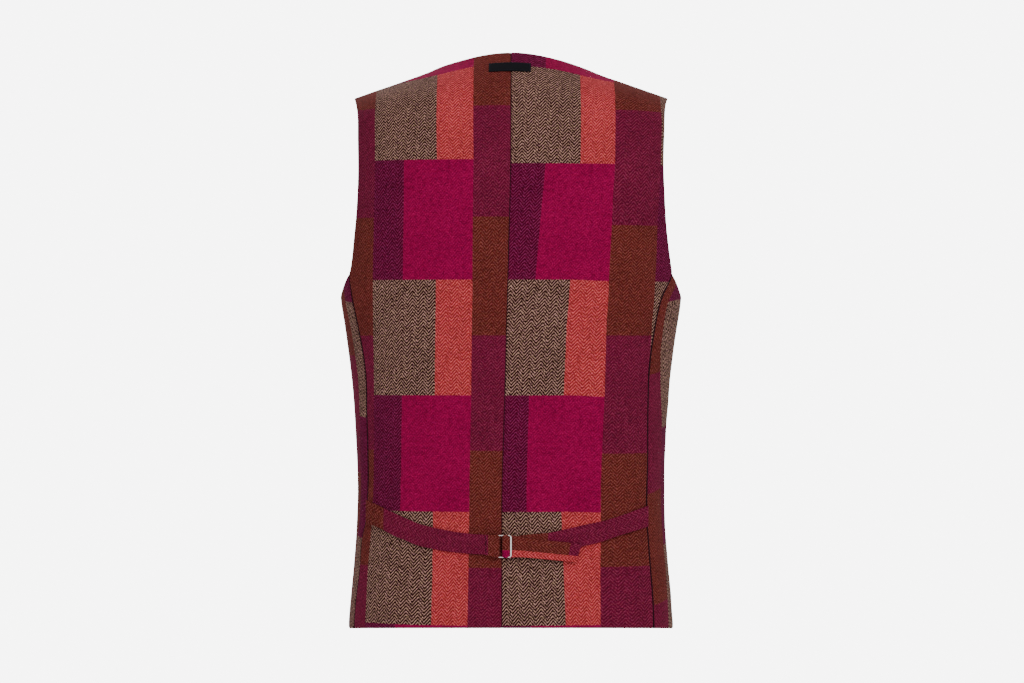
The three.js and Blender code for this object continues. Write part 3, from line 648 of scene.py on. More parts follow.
def shell_faces(mask):
    """Faces of a closed wall over the grid's cells in mask. The outer face's points come
    first, row by row, and then the inner face's."""
    rows, columns = mask.shape[0] + 1, mask.shape[1] + 1
    outer = np.arange(rows * columns).reshape(rows, columns)
    inner = outer + rows * columns
    corners = lambda grid: (grid[:-1, :-1], grid[:-1, 1:], grid[1:, 1:], grid[1:, :-1])
    a, b, c, d = corners(outer)
    e, f, g, h = corners(inner)
    faces = [
        quads_between(a[mask], b[mask], c[mask], d[mask]),
        quads_between(e[mask], h[mask], g[mask], f[mask]),
    ]
    padded = np.pad(mask, 1)
    edges = (
        (mask & ~padded[:-2, 1:-1], a, b, f, e),
        (mask & ~padded[1:-1, 2:], b, c, g, f),
        (mask & ~padded[2:, 1:-1], c, d, h, g),
        (mask & ~padded[1:-1, :-2], d, a, e, h),
    )
    for chosen, first, second, third, fourth in edges:
        faces.append(quads_between(second[chosen], first[chosen], fourth[chosen], third[chosen]))
    return np.concatenate(faces)


def model_object(name, points, faces, uv=None):
    """Mesh object from points in the garment's millimetres, with its faces turned outward."""
    points = np.asarray(points, float).reshape(-1, 3)
    faces = [list(map(int, face)) for face in faces]
    used = sorted({place for face in faces for place in face})
    place_of = {place: index for index, place in enumerate(used)}
    faces = [[place_of[place] for place in face] for face in faces]
    kept = points[used]
    volume = 0.0
    for face in faces:
        for second, third in zip(face[1:], face[2:]):
            volume += float(np.dot(kept[face[0]], np.cross(kept[second], kept[third])))
    if volume < 0:
        faces = [face[::-1] for face in faces]
    mesh = bpy.data.meshes.new(name)
    mesh.from_pydata(((kept + MODEL_SHIFT) * MILLIMETRE).tolist(), [], faces)
    if uv is not None:
        kept_uv = np.asarray(uv, float).reshape(-1, 2)[used] * MILLIMETRE
        layer = mesh.uv_layers.new(name="cloth")
        loops = np.zeros(len(mesh.loops), int)
        mesh.loops.foreach_get("vertex_index", loops)
        layer.data.foreach_set("uv", kept_uv[loops].ravel())
    mesh.shade_smooth()
    made = bpy.data.objects.new(name, mesh)
    bpy.context.scene.collection.objects.link(made)
    return made


def shell(name, faces, uvs, mask=None):
    """Closed wall between two grids of points, the outer face and the inner one, each with
    its place on the flat cloth. It covers the grids' cells in mask, or all of them."""
    if mask is None:
        mask = np.ones(np.subtract(faces[0].shape[:2], 1), bool)
    points = np.concatenate([face.reshape(-1, 3) for face in faces])
    uv = np.concatenate([pair.reshape(-1, 2) for pair in uvs])
    return model_object(name, points, shell_faces(mask), uv)


def ripple(around, height, seed):
    """Very low unevenness of the cloth, in waves of a few centimetres."""
    chance = random.Random(seed)
    rise = np.zeros(np.broadcast(around, height).shape)
    for _ in range(RIPPLE_WAVES):
        length = chance.uniform(*RIPPLE_LENGTHS)
        turn = chance.uniform(0, math.pi)
        phase = chance.uniform(0, 2 * math.pi)
        along = around * math.cos(turn) + height * math.sin(turn)
        rise += np.sin(2 * math.pi * along / length + phase) * RIPPLE_HEIGHT
    return rise


# The cloth's check in millimetres of cloth. Columns repeat every CHECK_WIDTH across it
CHECK_WIDTH = 153.0
TAN_WIDTH = 69.5
PURPLE_WIDTH = 35.0
BLOCK_WIDTH = 106.0
CHECK_LENGTH = 116.0
BLOCK_ROW_START = 115.0
BROWN_ROW_START = 59.5
HEM_STRIP = 2.5

# How far up the cloth each height of the back lies, left and right of the centre seam. The
# right_edge column takes over from the right one from EDGE_FROM on, over EDGE_FADE
CLOTH_UP = table(["height", "left", "right", "right_edge"], [
    [-40, -40, -40, -40],
    [0, 0, 0, 0],
    [59.3, 59.5, 59.5, 59.5],
    [114.4, 115, 115, 116],
    [171.4, 172.1, 172.1, 175.5],
    [229.5, 231, 231, 232.5],
    [288.6, 291.5, 291.5, 291.5],
    [343.6, 347, 347, 348.5],
    [397.3, 399.4, 400.8, 407.5],
    [404, 406, 407.5, 412.2],
    [459.1, 459.8, 464.2, 464.2],
    [BACK_BEND_HEIGHT, 500.4, 503.8, 503.8],
])
EDGE_FROM = 60.0
EDGE_FADE = 45.0

# The same above the bend at the shoulder blades, by the way up from it
CAP_UP = table(["rise", "up"], [
    [0, 0],
    [18, 20.3],
    [80, 75.8],
    [130, 121],
])

# How far from the centre seam three lines between columns lie on each side, by height: on
# the left the lines at BLOCK_WIDTH, TAN_WIDTH and 0, on the right at TAN_WIDTH, BLOCK_WIDTH
# and CHECK_WIDTH
LINES_LEFT = table(["height", "near", "middle", "far"], [
    [-40, 35, 71.5, 151],
    [60, 33, 69.5, 147],
    [130, 32, 68.5, 139.5],
    [290, 34, 70.5, 140],
    [440, 36.5, 73, 142],
    [520, 37.5, 74, 142],
])
LINES_RIGHT = table(["height", "near", "middle", "far"], [
    [0, 63.5, 98.7, 165],
    [60, 61, 99, 163],
    [110, 59, 99.2, 160],
    [170, 58.6, 99.6, 157],
    [235, 58.4, 100, 153],
    [300, 59.5, 100, 153],
    [340, 61.3, 101, 155],
    [400, 65, 103, 158],
    [461, 69, 104.5, 163],
    [520, 69.5, 105, 165],
])
CHECK_LINES = {
    1: (LINES_LEFT, (BLOCK_WIDTH, TAN_WIDTH, 0.0)),
    -1: (LINES_RIGHT, (TAN_WIDTH, BLOCK_WIDTH, CHECK_WIDTH)),
}
BEYOND_LINES = 60.0
BEYOND_BEND = 40.0

# Where a front starts on the flat cloth: across it and up it at the side seam, by height,
# and the same for the rest of the front, which takes over within SIDE_FADE of the seam. The
# rows rise by SIDE_SKEW towards the seam from SKEW_REACH on. Columns are measured from the
# seam up to COLUMNS_FROM and then, over COLUMNS_FADE, from the opening
FRONT_ACROSS = {1: 20.0, -1: 130.0}
SIDE_ACROSS = table(["height", "left", "right"], [
    [0, 20, 121],
    [60, 20, 117],
    [135, 20, 120],
    [200, 20, 119],
    [235, 20, 126],
    [273, 20, 135],
    [325, 20, 140],
    [400, 20, 132],
    [440, 20, 130],
])
FRONT_RISE = 24.0
SIDE_UP = table(["height", "left", "right"], [
    [-40, -18, -3],
    [23, 47, 59.5],
    [88.3, 115, 128],
    [133.5, 158.3, 175.5],
    [194, 216.2, 231],
    [209.4, 231, 246.9],
    [252.5, 274.5, 291.5],
    [324.4, 347, 346.5],
    [BACK_BEND_HEIGHT, 519, 519],
])
SIDE_FADE = 130.0
SIDE_SKEW = {1: 0.1, -1: 0.12}
SKEW_REACH = 30.0
COLUMNS_FROM = 25.0
COLUMNS_FADE = 120.0


def back_uv(side, points, height, row):
    """Place of each point of the back on the flat cloth."""
    across = steps_along(points, 1)
    bend = int(np.argmin(np.abs(row - SEAM_ROWS - BLADE_ROWS)))
    outs = side * points[..., 0]
    slope = (across[bend, -1] - across[bend, -2]) / (outs[bend, -1] - outs[bend, -2])
    known_out = np.append(outs[bend], outs[bend, -1] + BEYOND_BEND)
    known_across = np.append(across[bend], across[bend, -1] + BEYOND_BEND * slope)
    across[bend:] = np.interp(outs[bend:], known_out, known_across)
    near_up, edge_up = ("left", "left") if side > 0 else ("right", "right_edge")
    up = lerp(
        np.interp(height, CLOTH_UP["height"], CLOTH_UP[near_up]),
        np.interp(height, CLOTH_UP["height"], CLOTH_UP[edge_up]),
        smooth((across - EDGE_FROM) / EDGE_FADE),
    )
    rise = steps_along(points, 0)
    up[bend:] += np.interp(rise[bend:] - rise[bend], CAP_UP["rise"], CAP_UP["up"])
    lines, flat = CHECK_LINES[side]
    for place, at in enumerate(height[:, 0]):
        near, middle, far = [
            np.interp(at, lines["height"], lines[line]) for line in ("near", "middle", "far")]
        known = [0, near, middle, far, far + BEYOND_LINES]
        placed_at = [flat[0] + side * near, *flat, flat[2] - side * BEYOND_LINES]
        across[place] = np.interp(across[place], known, placed_at)
    return np.stack([across, up], axis=-1)


def front_uv(side, points, height, row, columns):
    """Place of each point of a front on the flat cloth. Near the side seam it is measured
    from the seam, and further on from the opening, so that the columns stand upright."""
    from_seam = steps_along(points[:, ::-1], 1)[:, ::-1]
    top = int(np.argmin(np.abs(row - SEAM_ROWS)))
    from_opening = np.mean(from_seam[:top, 0]) - steps_along(points, 1)
    across = lerp(from_seam, from_opening, smooth((from_seam - COLUMNS_FROM) / COLUMNS_FADE))
    armhole = int(np.argmin(np.abs(columns - ARMHOLE_SHARE)))
    outs = side * points[top, :armhole, 0]
    known = across[top, :armhole]
    known_out = [outs[0] - BEYOND_LINES, *outs, outs[-1] + BEYOND_LINES]
    known_across = [known[0] + BEYOND_LINES, *known, known[-1] - BEYOND_LINES]
    across[top + 1:] = np.interp(side * points[top + 1:, :, 0], known_out, known_across)
    name = "left" if side > 0 else "right"
    from_side = smooth(from_seam / SIDE_FADE)
    start = np.interp(height, SIDE_ACROSS["height"], SIDE_ACROSS[name])
    start = lerp(start, FRONT_ACROSS[side], from_side)
    up = np.interp(height, SIDE_UP["height"], SIDE_UP[name])
    up = lerp(up, height + FRONT_RISE, from_side)
    up += SIDE_SKEW[side] * np.maximum(SKEW_REACH - from_seam, 0)
    rise = steps_along(points, 0)
    bend = int(np.argmin(np.abs(row - SEAM_ROWS - CHEST_ROWS)))
    up[bend:] += rise[bend:] - rise[bend]
    return np.stack([start - side * across, up], axis=-1)


def wall_faces(points_of, side, across, row, crease, left):
    """Outer and inner face of a panel, with the share of its wall that is left."""
    lifts = [crease - WALL / 2 + facing * WALL / 2 * left for facing in (1, -1)]
    return [points_of(side, across, row, lift)[0] for lift in lifts]


def beside_seam(distance):
    return np.clip(1 - distance / SEAM_BEVEL, 0, 1)


def round_body(side, angle):
    """Way round the body in millimetres, from the wearer's left."""
    return np.where(side > 0, angle, 180 - angle) * math.radians(FOLD_RADIUS)


def back_cloth(side, name):
    cap_start = SEAM_ROWS + BLADE_ROWS
    columns = spaced(0, 1, BACK_WIDTH, CLOTH_STEP, True, True)
    lower = spaced(0, SEAM_ROWS, BACK_LOWER, CLOTH_STEP, True, False)
    blade = spaced(SEAM_ROWS, cap_start, BACK_BLADE, CLOTH_STEP, False, False)
    cap = spaced(cap_start, cap_start + BACK_CAP_ROWS, BACK_CAP, CLOTH_STEP, False, True)
    rows = joined(lower, blade, cap)
    across, row = np.meshgrid(columns, rows)
    flat, angle, height = back_points(side, across, row, np.zeros(across.shape))
    from_centre = steps_along(flat, 1)
    to_side = from_centre[:, -1:] - from_centre
    up = steps_along(flat, 0)
    to_top = up[-1:] - up
    left = round_off(from_centre) * round_off(to_side) * round_off(up) * round_off(to_top)
    way_up = height + np.where(row > cap_start, up - up[rows.tolist().index(cap_start)], 0)
    free = smooth(np.minimum(np.minimum(from_centre, to_side), to_top) / CREASE_MARGIN)
    crease = ripple(round_body(side, angle), way_up, BACK_SEED + side)
    crease = crease - fold_depth(CREASES, side, angle, way_up) * free
    crease -= HEM_PRESS * np.exp(-up / HEM_REACH) + CENTRE_PRESS * np.exp(-from_centre / SEAM_REACH)
    crease += SIDE_ROLL * np.exp(-to_side / SEAM_REACH) * (row <= SEAM_ROWS)
    faces = wall_faces(back_points, side, across, row, crease, left)
    below_seam = (row <= SEAM_ROWS) * beside_seam(to_side)
    along, upward = unit(np.gradient(flat, axis=1)), unit(np.gradient(flat, axis=0))
    for points in faces:
        points += along * (beside_seam(from_centre) * HALF_GAP)[..., None]
        points -= along * (below_seam * HALF_GAP)[..., None]
        clear = side * np.maximum(side * points[..., 0], HALF_GAP)
        points[..., 0] = np.where(row > cap_start, clear, points[..., 0])
        round_corner(points, along, upward, to_side, to_top)
    return shell(name, faces, [back_uv(side, flat, height, rows)] * 2)


def front_cloth(side, name):
    cap_start = SEAM_ROWS + CHEST_ROWS
    armhole_at = FRONT_WIDTH * ARMHOLE_SHARE
    columns = joined(spaced(0, ARMHOLE_SHARE, armhole_at, CLOTH_STEP, True, True),
                     spaced(ARMHOLE_SHARE, 1, FRONT_WIDTH - armhole_at, CLOTH_STEP, True, True))
    lower = spaced(0, SEAM_ROWS, FRONT_LOWER, CLOTH_STEP, True, True)
    chest = spaced(SEAM_ROWS, cap_start, FRONT_CHEST, CLOTH_STEP, True, False)
    cap = spaced(cap_start, cap_start + FRONT_CAP_ROWS, FRONT_CAP, CLOTH_STEP, False, True)
    rows = joined(lower, chest, cap)
    across, row = np.meshgrid(columns, rows)
    flat, angle, height = front_points(side, across, row, np.zeros(across.shape))
    armhole = int(np.argmin(np.abs(columns - ARMHOLE_SHARE)))
    seam_top = int(np.argmin(np.abs(rows - SEAM_ROWS)))
    bend = int(np.argmin(np.abs(rows - cap_start)))
    from_opening = steps_along(flat, 1)
    end_column = np.where(rows <= SEAM_ROWS, len(columns) - 1, armhole)
    to_side = np.take_along_axis(from_opening, end_column[:, None], axis=1) - from_opening
    up = steps_along(flat, 0)
    end_row = np.where(np.arange(len(columns)) <= armhole, len(rows) - 1, seam_top)
    to_top = np.take_along_axis(up, end_row[None, :], axis=0) - up
    to_side, to_top = np.maximum(to_side, 0), np.maximum(to_top, 0)
    left = round_off(from_opening) * round_off(to_side) * round_off(up) * round_off(to_top)
    way_up = height + np.where(row > cap_start, up - up[bend], 0)
    free = smooth(np.minimum(to_side, to_top) / CREASE_MARGIN)
    crease = ripple(round_body(side, angle), way_up, FRONT_SEED + side)
    crease *= smooth(from_opening / OPENING_MARGIN)
    crease -= fold_depth(CREASES, side, angle, way_up) * free + HEM_PRESS * np.exp(-up / HEM_REACH)
    crease -= SIDE_PRESS * np.exp(-to_side / SEAM_REACH) * (row <= SEAM_ROWS)
    faces = wall_faces(front_points, side, across, row, crease, left)
    below_seam = (row <= SEAM_ROWS) * beside_seam(to_side)
    along, upward = unit(np.gradient(flat, axis=1)), unit(np.gradient(flat, axis=0))
    to_cap_side = np.where(row > cap_start, to_side, CORNER_ROUND)
    for points in faces:
        points -= along * (below_seam * HALF_GAP)[..., None]
        round_corner(points, along, upward, to_cap_side, to_top)
    mask = np.ones((len(rows) - 1, len(columns) - 1), bool)
    mask[seam_top:, armhole:] = False
    return shell(name, faces, [front_uv(side, flat, height, rows, columns)] * 2, mask)


def back_place(x, height, lift):
    """Place on the back, a distance across and up it, moved out by the lift."""
    x, height, lift = np.broadcast_arrays(np.asarray(x, float), height, lift)
    side = np.where(x >= 0, 1.0, -1.0)
    return cloth_point(side, angle_at_out(np.abs(x), height, True), height, lift)


def turn_stations(bar_x, towards, starts_above):
    """Stations round a bar. The strap's upper layer bulges out over the buckle's rails."""
    turn = np.pi * np.arange(TURN_STEPS + 1) / TURN_STEPS
    x = bar_x + towards * TURN_RADIUS * np.sin(turn)
    rise = np.cos(turn) * (1 if starts_above else -1)
    bulge = STRAP_BULGE * smooth(rise)
    lift = BAR_LIFT + TURN_RADIUS * rise
    return [[a, STRAP_UPPER + b, a, STRAP_LOWER - b, c] for a, b, c in zip(x, bulge, lift)]


def refined(stations, step):
    """Stations of a strap, closer together along a smooth curve through the given ones."""
    stations = np.array(stations, float)
    middle = (stations[:, 0] + stations[:, 2]) / 2
    gaps = np.hypot(np.diff(middle), np.diff(stations[:, 4]))
    at = np.concatenate([[0], np.cumsum(np.maximum(gaps, 0.05))])
    rows = table(["at", *BELT_COLUMNS], [[place, *row] for place, row in zip(at, stations)])
    places = spaced(0, at[-1], at[-1], step, True, True)
    fine = np.stack([curve_lookup(rows, "at", name, places) for name in BELT_COLUMNS], axis=-1)
    return places, fine


def strap_cloth(name, stations, across_of, up_of):
    """Strap of two layers with rounded edges. across_of and up_of give its place on the
    flat cloth from the share down it and the distance along it, for each of its faces."""
    places, fine = refined(stations, STRAP_STEP)
    share = spaced(0, 1, STRAP_WIDTH, STRAP_COLUMN_STEP, True, True)
    upper_x, upper_height, lower_x, lower_height, lift = [fine[:, [column]] for column in range(5)]
    middle = (fine[:, 0] + fine[:, 2]) / 2
    along = unit(np.stack([np.gradient(middle), np.gradient(fine[:, 4])], axis=-1))
    from_edge = np.minimum(share, 1 - share)[None, :] * STRAP_WIDTH
    from_end = np.minimum(places, places[-1] - places)[:, None]
    half = STRAP_THICKNESS / 2 * round_off(from_edge * STRAP_EDGE_SHARPNESS)
    half = half * round_off(from_end * STRAP_EDGE_SHARPNESS)
    pressed = np.exp(-((from_edge - STRAP_PRESS_PLACE) / STRAP_PRESS_REACH) ** 2)
    half = half * (1 - STRAP_PRESS_SHARE * pressed)
    down, distance = np.broadcast_arrays(share[None, :], places[:, None])
    height = lerp(upper_height, lower_height, share)
    faces, uvs = [], []
    for facing in (1, -1):
        x = lerp(upper_x, lower_x, share) - along[:, [1]] * half * facing
        faces.append(back_place(x, height, lift + along[:, [0]] * half * facing))
        uvs.append(np.stack([across_of(down, facing), up_of(distance)], axis=-1))
    return shell(name, faces, uvs)


def tube_mesh(path, radius, sides, closed=False):
    """Points and faces of a round tube along a path, of one radius or one for each place."""
    path = np.asarray(path, float)
    radius = np.broadcast_to(radius, len(path))[:, None, None]
    if closed:
        tangent = unit(np.roll(path, -1, axis=0) - np.roll(path, 1, axis=0))
    else:
        tangent = unit(np.gradient(path, axis=0))
    guide = np.array([0.0, 0.0, 1.0]) if abs(tangent[0][2]) < 0.8 else np.array([1.0, 0.0, 0.0])
    across = []
    for direction in tangent:
        guide = unit(guide - direction * np.dot(guide, direction))
        across.append(guide)
    across = np.array(across)
    other = np.cross(tangent, across)
    turn = np.linspace(0, 2 * np.pi, sides, endpoint=False)
    ring = np.cos(turn)[None, :, None] * across[:, None] + np.sin(turn)[None, :, None] * other[:, None]
    points = (path[:, None] + ring * radius).reshape(-1, 3)
    faces = []
    count = len(path)
    for place in range(count if closed else count - 1):
        following = (place + 1) % count
        for side in range(sides):
            beside = (side + 1) % sides
            faces.append([place * sides + side, following * sides + side,
                          following * sides + beside, place * sides + beside])
    if not closed:
        faces.append(list(range(sides))[::-1])
        faces.append([(count - 1) * sides + side for side in range(sides)])
    return points, faces


def several(meshes):
    """One list of points and faces out of many."""
    points, faces, start = [], [], 0
    for mesh_points, mesh_faces in meshes:
        points.append(mesh_points)
        faces.extend([[place + start for place in face] for face in mesh_faces])
        start += len(mesh_points)
    return np.concatenate(points), faces


def rounded_loop(corners, radius, steps):
    """Closed path through corners, each turned with a soft bend."""
    path = []
    count = len(corners)
    for place, corner in enumerate(corners):
        before, after = corners[place - 1], corners[(place + 1) % count]
        reach_in = min(radius, np.linalg.norm(corner - before) * 0.45)
        reach_out = min(radius, np.linalg.norm(after - corner) * 0.45)
        start = corner + unit(before - corner) * reach_in
        end = corner + unit(after - corner) * reach_out
        for step in range(steps + 1):
            share = step / steps
            path.append(start * (1 - share) ** 2 + 2 * corner * share * (1 - share) + end * share ** 2)
    return np.array(path)


def buckle_wire():
    bars = [[LEFT_BAR_X, BAR_LIFT], [CENTRE_BAR_X, BAR_LIFT], [RIGHT_BAR_X, RIGHT_BAR_LIFT]]
    upper = [back_place(x, BUCKLE_RAIL_UPPER, lift) for x, lift in bars]
    lower = [back_place(x, BUCKLE_RAIL_LOWER, lift) for x, lift in bars]
    loop = rounded_loop([*upper, *lower[::-1]], BUCKLE_BEND, BEND_STEPS)
    middle = (BUCKLE_RAIL_UPPER + BUCKLE_RAIL_LOWER) / 2
    half = (BUCKLE_RAIL_UPPER - BUCKLE_RAIL_LOWER) / 2
    on_rail = smooth((np.abs(loop[:, 2] - middle) / half - RAIL_START) / RAIL_FADE)
    frame_wire = tube_mesh(loop, lerp(BAR_RADIUS, RAIL_RADIUS, on_rail), WIRE_SIDES, closed=True)
    bar = [lerp(upper[1], lower[1], share) for share in np.linspace(0, 1, 5)]
    return model_object("buckle_slide", *several([frame_wire, tube_mesh(bar, RAIL_RADIUS, WIRE_SIDES)]))


def label_points(x, share, lift):
    x, share = np.broadcast_arrays(x, share)
    side = np.where(x >= 0, 1.0, -1.0)
    across = np.degrees(np.arcsin(np.abs(x) / NECK_HALF_WIDTH)) / 90 * NECK_SHARE
    points = cap_point(lambda a, s: back_cap_surface(side, a, s), side, across, share, lift, -1)
    points[..., 0] = x
    return points


def label_cloth():
    columns = spaced(LABEL_LEFT_X, LABEL_RIGHT_X, LABEL_WIDTH, LABEL_STEP, True, True)
    rows = spaced(LABEL_START, LABEL_END, LABEL_LENGTH, LABEL_STEP, True, True)
    x, share = np.meshgrid(columns, rows)
    from_side = np.minimum(LABEL_LEFT_X - x, x - LABEL_RIGHT_X)
    from_end = np.minimum(share - LABEL_START, LABEL_END - share) / (LABEL_END - LABEL_START) * LABEL_LENGTH
    left = round_off(from_side * 2) * round_off(from_end * 2)
    sewn = np.exp(-((np.minimum(from_side, from_end) - LABEL_SEWN) / 0.5) ** 2)
    puff = 0.1 * np.sin(x * 0.9) * np.exp(-((from_end - LABEL_SEWN) / 1.6) ** 2)
    middle = LABEL_LIFT + LABEL_THICKNESS / 2
    outer = label_points(x, share, middle + LABEL_THICKNESS / 2 * left * (1 - 0.3 * sewn) + puff)
    inner = label_points(x, share, middle - LABEL_THICKNESS / 2 * left)
    return shell("neck_label_cloth", [outer, inner], [np.stack([x, share * LABEL_UV_LENGTH], axis=-1)] * 2)


def stitch_row(place_at, distance, stitch, seed):
    """Stitches as short threads along a line. place_at gives a point from the distance along
    the line and the height of the thread above the cloth."""
    length, gap, radius = stitch
    chance = random.Random(seed)
    meshes = []
    at = gap / 2
    while at + length < distance:
        long = length * chance.uniform(0.9, 1.08)
        path = []
        for share in (0, 0.2, 0.5, 0.8, 1):
            rise = radius * (1.15 * math.sin(math.pi * share) - 0.35)
            path.append(place_at(at + long * share, rise))
        meshes.append(tube_mesh(np.array(path), radius, 6))
        at += long + gap
    return meshes


def label_stitches():
    top_lift = LABEL_LIFT + LABEL_THICKNESS * 0.93
    scale = (LABEL_END - LABEL_START) / LABEL_LENGTH
    meshes = []
    for seed, inset in ((1, LABEL_SEWN), (2, LABEL_LENGTH - LABEL_SEWN)):
        line = lambda at, rise, inset=inset: label_points(
            LABEL_LEFT_X - LABEL_CORNER - at, LABEL_START + inset * scale, np.array(top_lift + rise))
        meshes += stitch_row(line, LABEL_WIDTH - 2 * LABEL_CORNER, LABEL_STITCH, seed)
    for seed, x in ((3, LABEL_LEFT_X - LABEL_SEWN), (4, LABEL_RIGHT_X + LABEL_SEWN)):
        line = lambda at, rise, x=x: label_points(
            x, LABEL_START + (LABEL_CORNER + at) * scale, np.array(top_lift + rise))
        meshes += stitch_row(line, LABEL_LENGTH - 2 * LABEL_CORNER, LABEL_STITCH, seed)
    return model_object("label_stitches", *several(meshes))


def strap_stitches():
    """The line of stitches that holds the left strap's folded end."""
    x, top, length, waver = 24.6, 91.0, 18.4, 0.4
    lift = TAIL_LIFT + 0.2 + STRAP_THICKNESS / 2
    line = lambda at, rise: back_place(x + waver * math.sin(at), top - at, lift + rise)
    return model_object("strap_stitches", *several(stitch_row(line, length, STRAP_STITCH, 5)))


def seam_lines():
    """Dark thread deep in each seam, centre back, both sides and both shoulders: painted seam shade that
    darkens the gaps, with two threads at each side seam that draw the shadow line beside the back's edge.
    """
    meshes = []
    rows = np.linspace(0.02, SEAM_ROWS + BLADE_ROWS + BACK_CAP_ROWS - 0.02, 150)
    at_centre, deep = np.zeros(rows.shape), np.full(rows.shape, -WALL / 2)
    middle = (back_points(1, at_centre, rows, deep)[0] + back_points(-1, at_centre, rows, deep)[0]) / 2
    meshes.append(tube_mesh(middle, SEAM_SHADE_THREAD, THREAD_SIDES))
    rows = np.linspace(0.01, SEAM_ROWS - 0.01, 90)
    shares = np.linspace(NECK_SHARE + 0.02, 0.965, 24)
    for side in (1, -1):
        # Two dark threads at the front's pressed edge: the painted shadow line of the side seam
        for share, sink in SIDE_SHADE_THREADS:
            line = front_points(side, np.full(rows.shape, share), rows, np.full(rows.shape, -sink))[0]
            meshes.append(tube_mesh(line, SIDE_SHADE_THREAD, THREAD_SIDES))
        ridge = ridge_point(side, shares)
        ridge[..., 2] -= WALL / 2
        meshes.append(tube_mesh(ridge, SEAM_SHADE_THREAD, THREAD_SIDES))
    return model_object("seam_threads", *several(meshes))


def button_basis(height):
    """Seat of a button and its directions across, up and outward."""
    at_lift = lambda lift: cloth_point(1.0, np.array(-90.0), np.array(float(height)), np.array(lift))
    seat = at_lift(BUTTON_LIFT)
    outward = unit(at_lift(BUTTON_LIFT + 1) - seat)
    across = unit(np.cross(np.array([0.0, 0.0, 1.0]), outward))
    return seat, across, np.cross(outward, across), outward


def button_disc():
    """Button without its holes, which button_mesh cuts, standing on its back face at the origin."""
    sides = BUTTON_SIDES
    turn = np.linspace(0, 2 * np.pi, sides, endpoint=False)
    points = [[0, 0, 0]]
    rings = BUTTON_PROFILE[1:-1]
    for inset, rise in rings:
        radius = BUTTON_RADIUS - inset
        points += [[radius * math.cos(t), radius * math.sin(t), rise * BUTTON_THICKNESS] for t in turn]
    points.append([0, 0, BUTTON_PROFILE[-1][1] * BUTTON_THICKNESS])
    faces = []
    for side in range(sides):
        beside = (side + 1) % sides
        faces.append([0, 1 + beside, 1 + side])
        for ring in range(len(rings) - 1):
            low, high = 1 + ring * sides, 1 + (ring + 1) * sides
            faces.append([low + side, low + beside, high + beside, high + side])
        last = 1 + (len(rings) - 1) * sides
        faces.append([last + side, last + beside, len(points) - 1])
    return mesh_only("button_disc", points, faces)


def mesh_only(name, points, faces):
    mesh = bpy.data.meshes.new(name)
    mesh.from_pydata([[float(value) for value in point] for point in points], [], faces)
    made = bpy.data.objects.new(name, mesh)
    bpy.context.scene.collection.objects.link(made)
    return made


def button_mesh():
    """The disc with its holes cut through, as points and faces in millimetres."""
    disc = button_disc()
    cutters = []
    for across in (-1, 1):
        for along in (-1, 1):
            path = [[across * BUTTON_HOLE_SPACING, along * BUTTON_HOLE_SPACING, rise] for rise in (-2, 6)]
            cutters.append(tube_mesh(np.array(path, float), BUTTON_HOLE_RADIUS, BUTTON_HOLE_SIDES))
    cutter = mesh_only("button_cutter", *several(cutters))
    cut = disc.modifiers.new("holes", "BOOLEAN")
    cut.operation = "DIFFERENCE"
    cut.solver = "EXACT"
    cut.object = cutter
    bpy.context.view_layer.update()
    mesh = disc.evaluated_get(bpy.context.evaluated_depsgraph_get()).to_mesh()
    points = np.array([list(vertex.co) for vertex in mesh.vertices])
    faces = [list(polygon.vertices) for polygon in mesh.polygons]
    for made in (disc, cutter):
        bpy.data.objects.remove(made)
    return points, faces


def placed(points, basis):
    seat, across, up, outward = basis
    points = np.asarray(points, float)
    return seat + points[:, [0]] * across + points[:, [1]] * up + points[:, [2]] * outward


def button_thread(basis, seed):
    """Thread through the holes in two bars, and its stem below."""
    chance = random.Random(seed)
    meshes = []
    dish = BUTTON_THICKNESS * BUTTON_DISH
    for row in (-1, 1):
        for strand in STRAND_PLACES:
            y = row * BUTTON_HOLE_SPACING + strand + chance.uniform(-STRAND_STRAY, STRAND_STRAY)
            meshes.append(tube_mesh([[x, y, dish + rise] for x, rise in THREAD_ARCH], STRAND_RADIUS, 6))
    meshes.append(tube_mesh([[0, 0, rise] for rise in STEM_RISES], STEM_RADIUS, 12))
    return [(placed(points, basis), faces) for points, faces in meshes]


def buttonhole(height):
    """Worked buttonhole in the left front: a slit with close stitches along both lips."""
    meshes = []
    pitch = BUTTONHOLE_REACH * 2 / BUTTONHOLE_STITCHES
    for lip in (-1, 1):
        for place in range(BUTTONHOLE_STITCHES):
            out = BUTTONHOLE_MIDDLE - BUTTONHOLE_REACH + (place + 0.5) * pitch
            points = []
            for share, rise in BUTTONHOLE_ARCH:
                at = np.array(float(height + lip * (BUTTONHOLE_SLIT + share)))
                angle = angle_at_out(np.array(-out), at, False)
                points.append(cloth_point(1.0, angle, at, np.array(rise)))
            meshes.append(tube_mesh(np.array(points), BUTTONHOLE_THREAD, 5))
    return meshes


def set_inputs(node, values):
    for name, value in values.items():
        node.inputs[name].default_value = value


def add_bump(tree, shader, height, strength, distance):
    bump = tree.nodes.new("ShaderNodeBump")
    set_inputs(bump, {"Strength": strength, "Distance": distance})
    tree.links.new(height, bump.inputs["Height"])
    tree.links.new(bump.outputs[0], shader.inputs["Normal"])


def node_tree(name):
    material = bpy.data.materials.new(name)
    material.use_nodes = True
    return material, material.node_tree, material.node_tree.nodes["Principled BSDF"]


def connect(tree, socket, value):
    if isinstance(value, bpy.types.NodeSocket):
        tree.links.new(value, socket)
    else:
        socket.default_value = value


def maths(tree, operation, first, second=None, clamp=False):
    node = tree.nodes.new("ShaderNodeMath")
    node.operation = operation
    node.use_clamp = clamp
    connect(tree, node.inputs[0], first)
    if second is not None:
        connect(tree, node.inputs[1], second)
    return node.outputs[0]


def mixed(tree, factor, first, second, blend="MIX"):
    node = tree.nodes.new("ShaderNodeMix")
    node.data_type = "RGBA"
    node.blend_type = blend
    connect(tree, node.inputs[0], factor)
    connect(tree, node.inputs[6], first)
    connect(tree, node.inputs[7], second)
    return node.outputs[2]


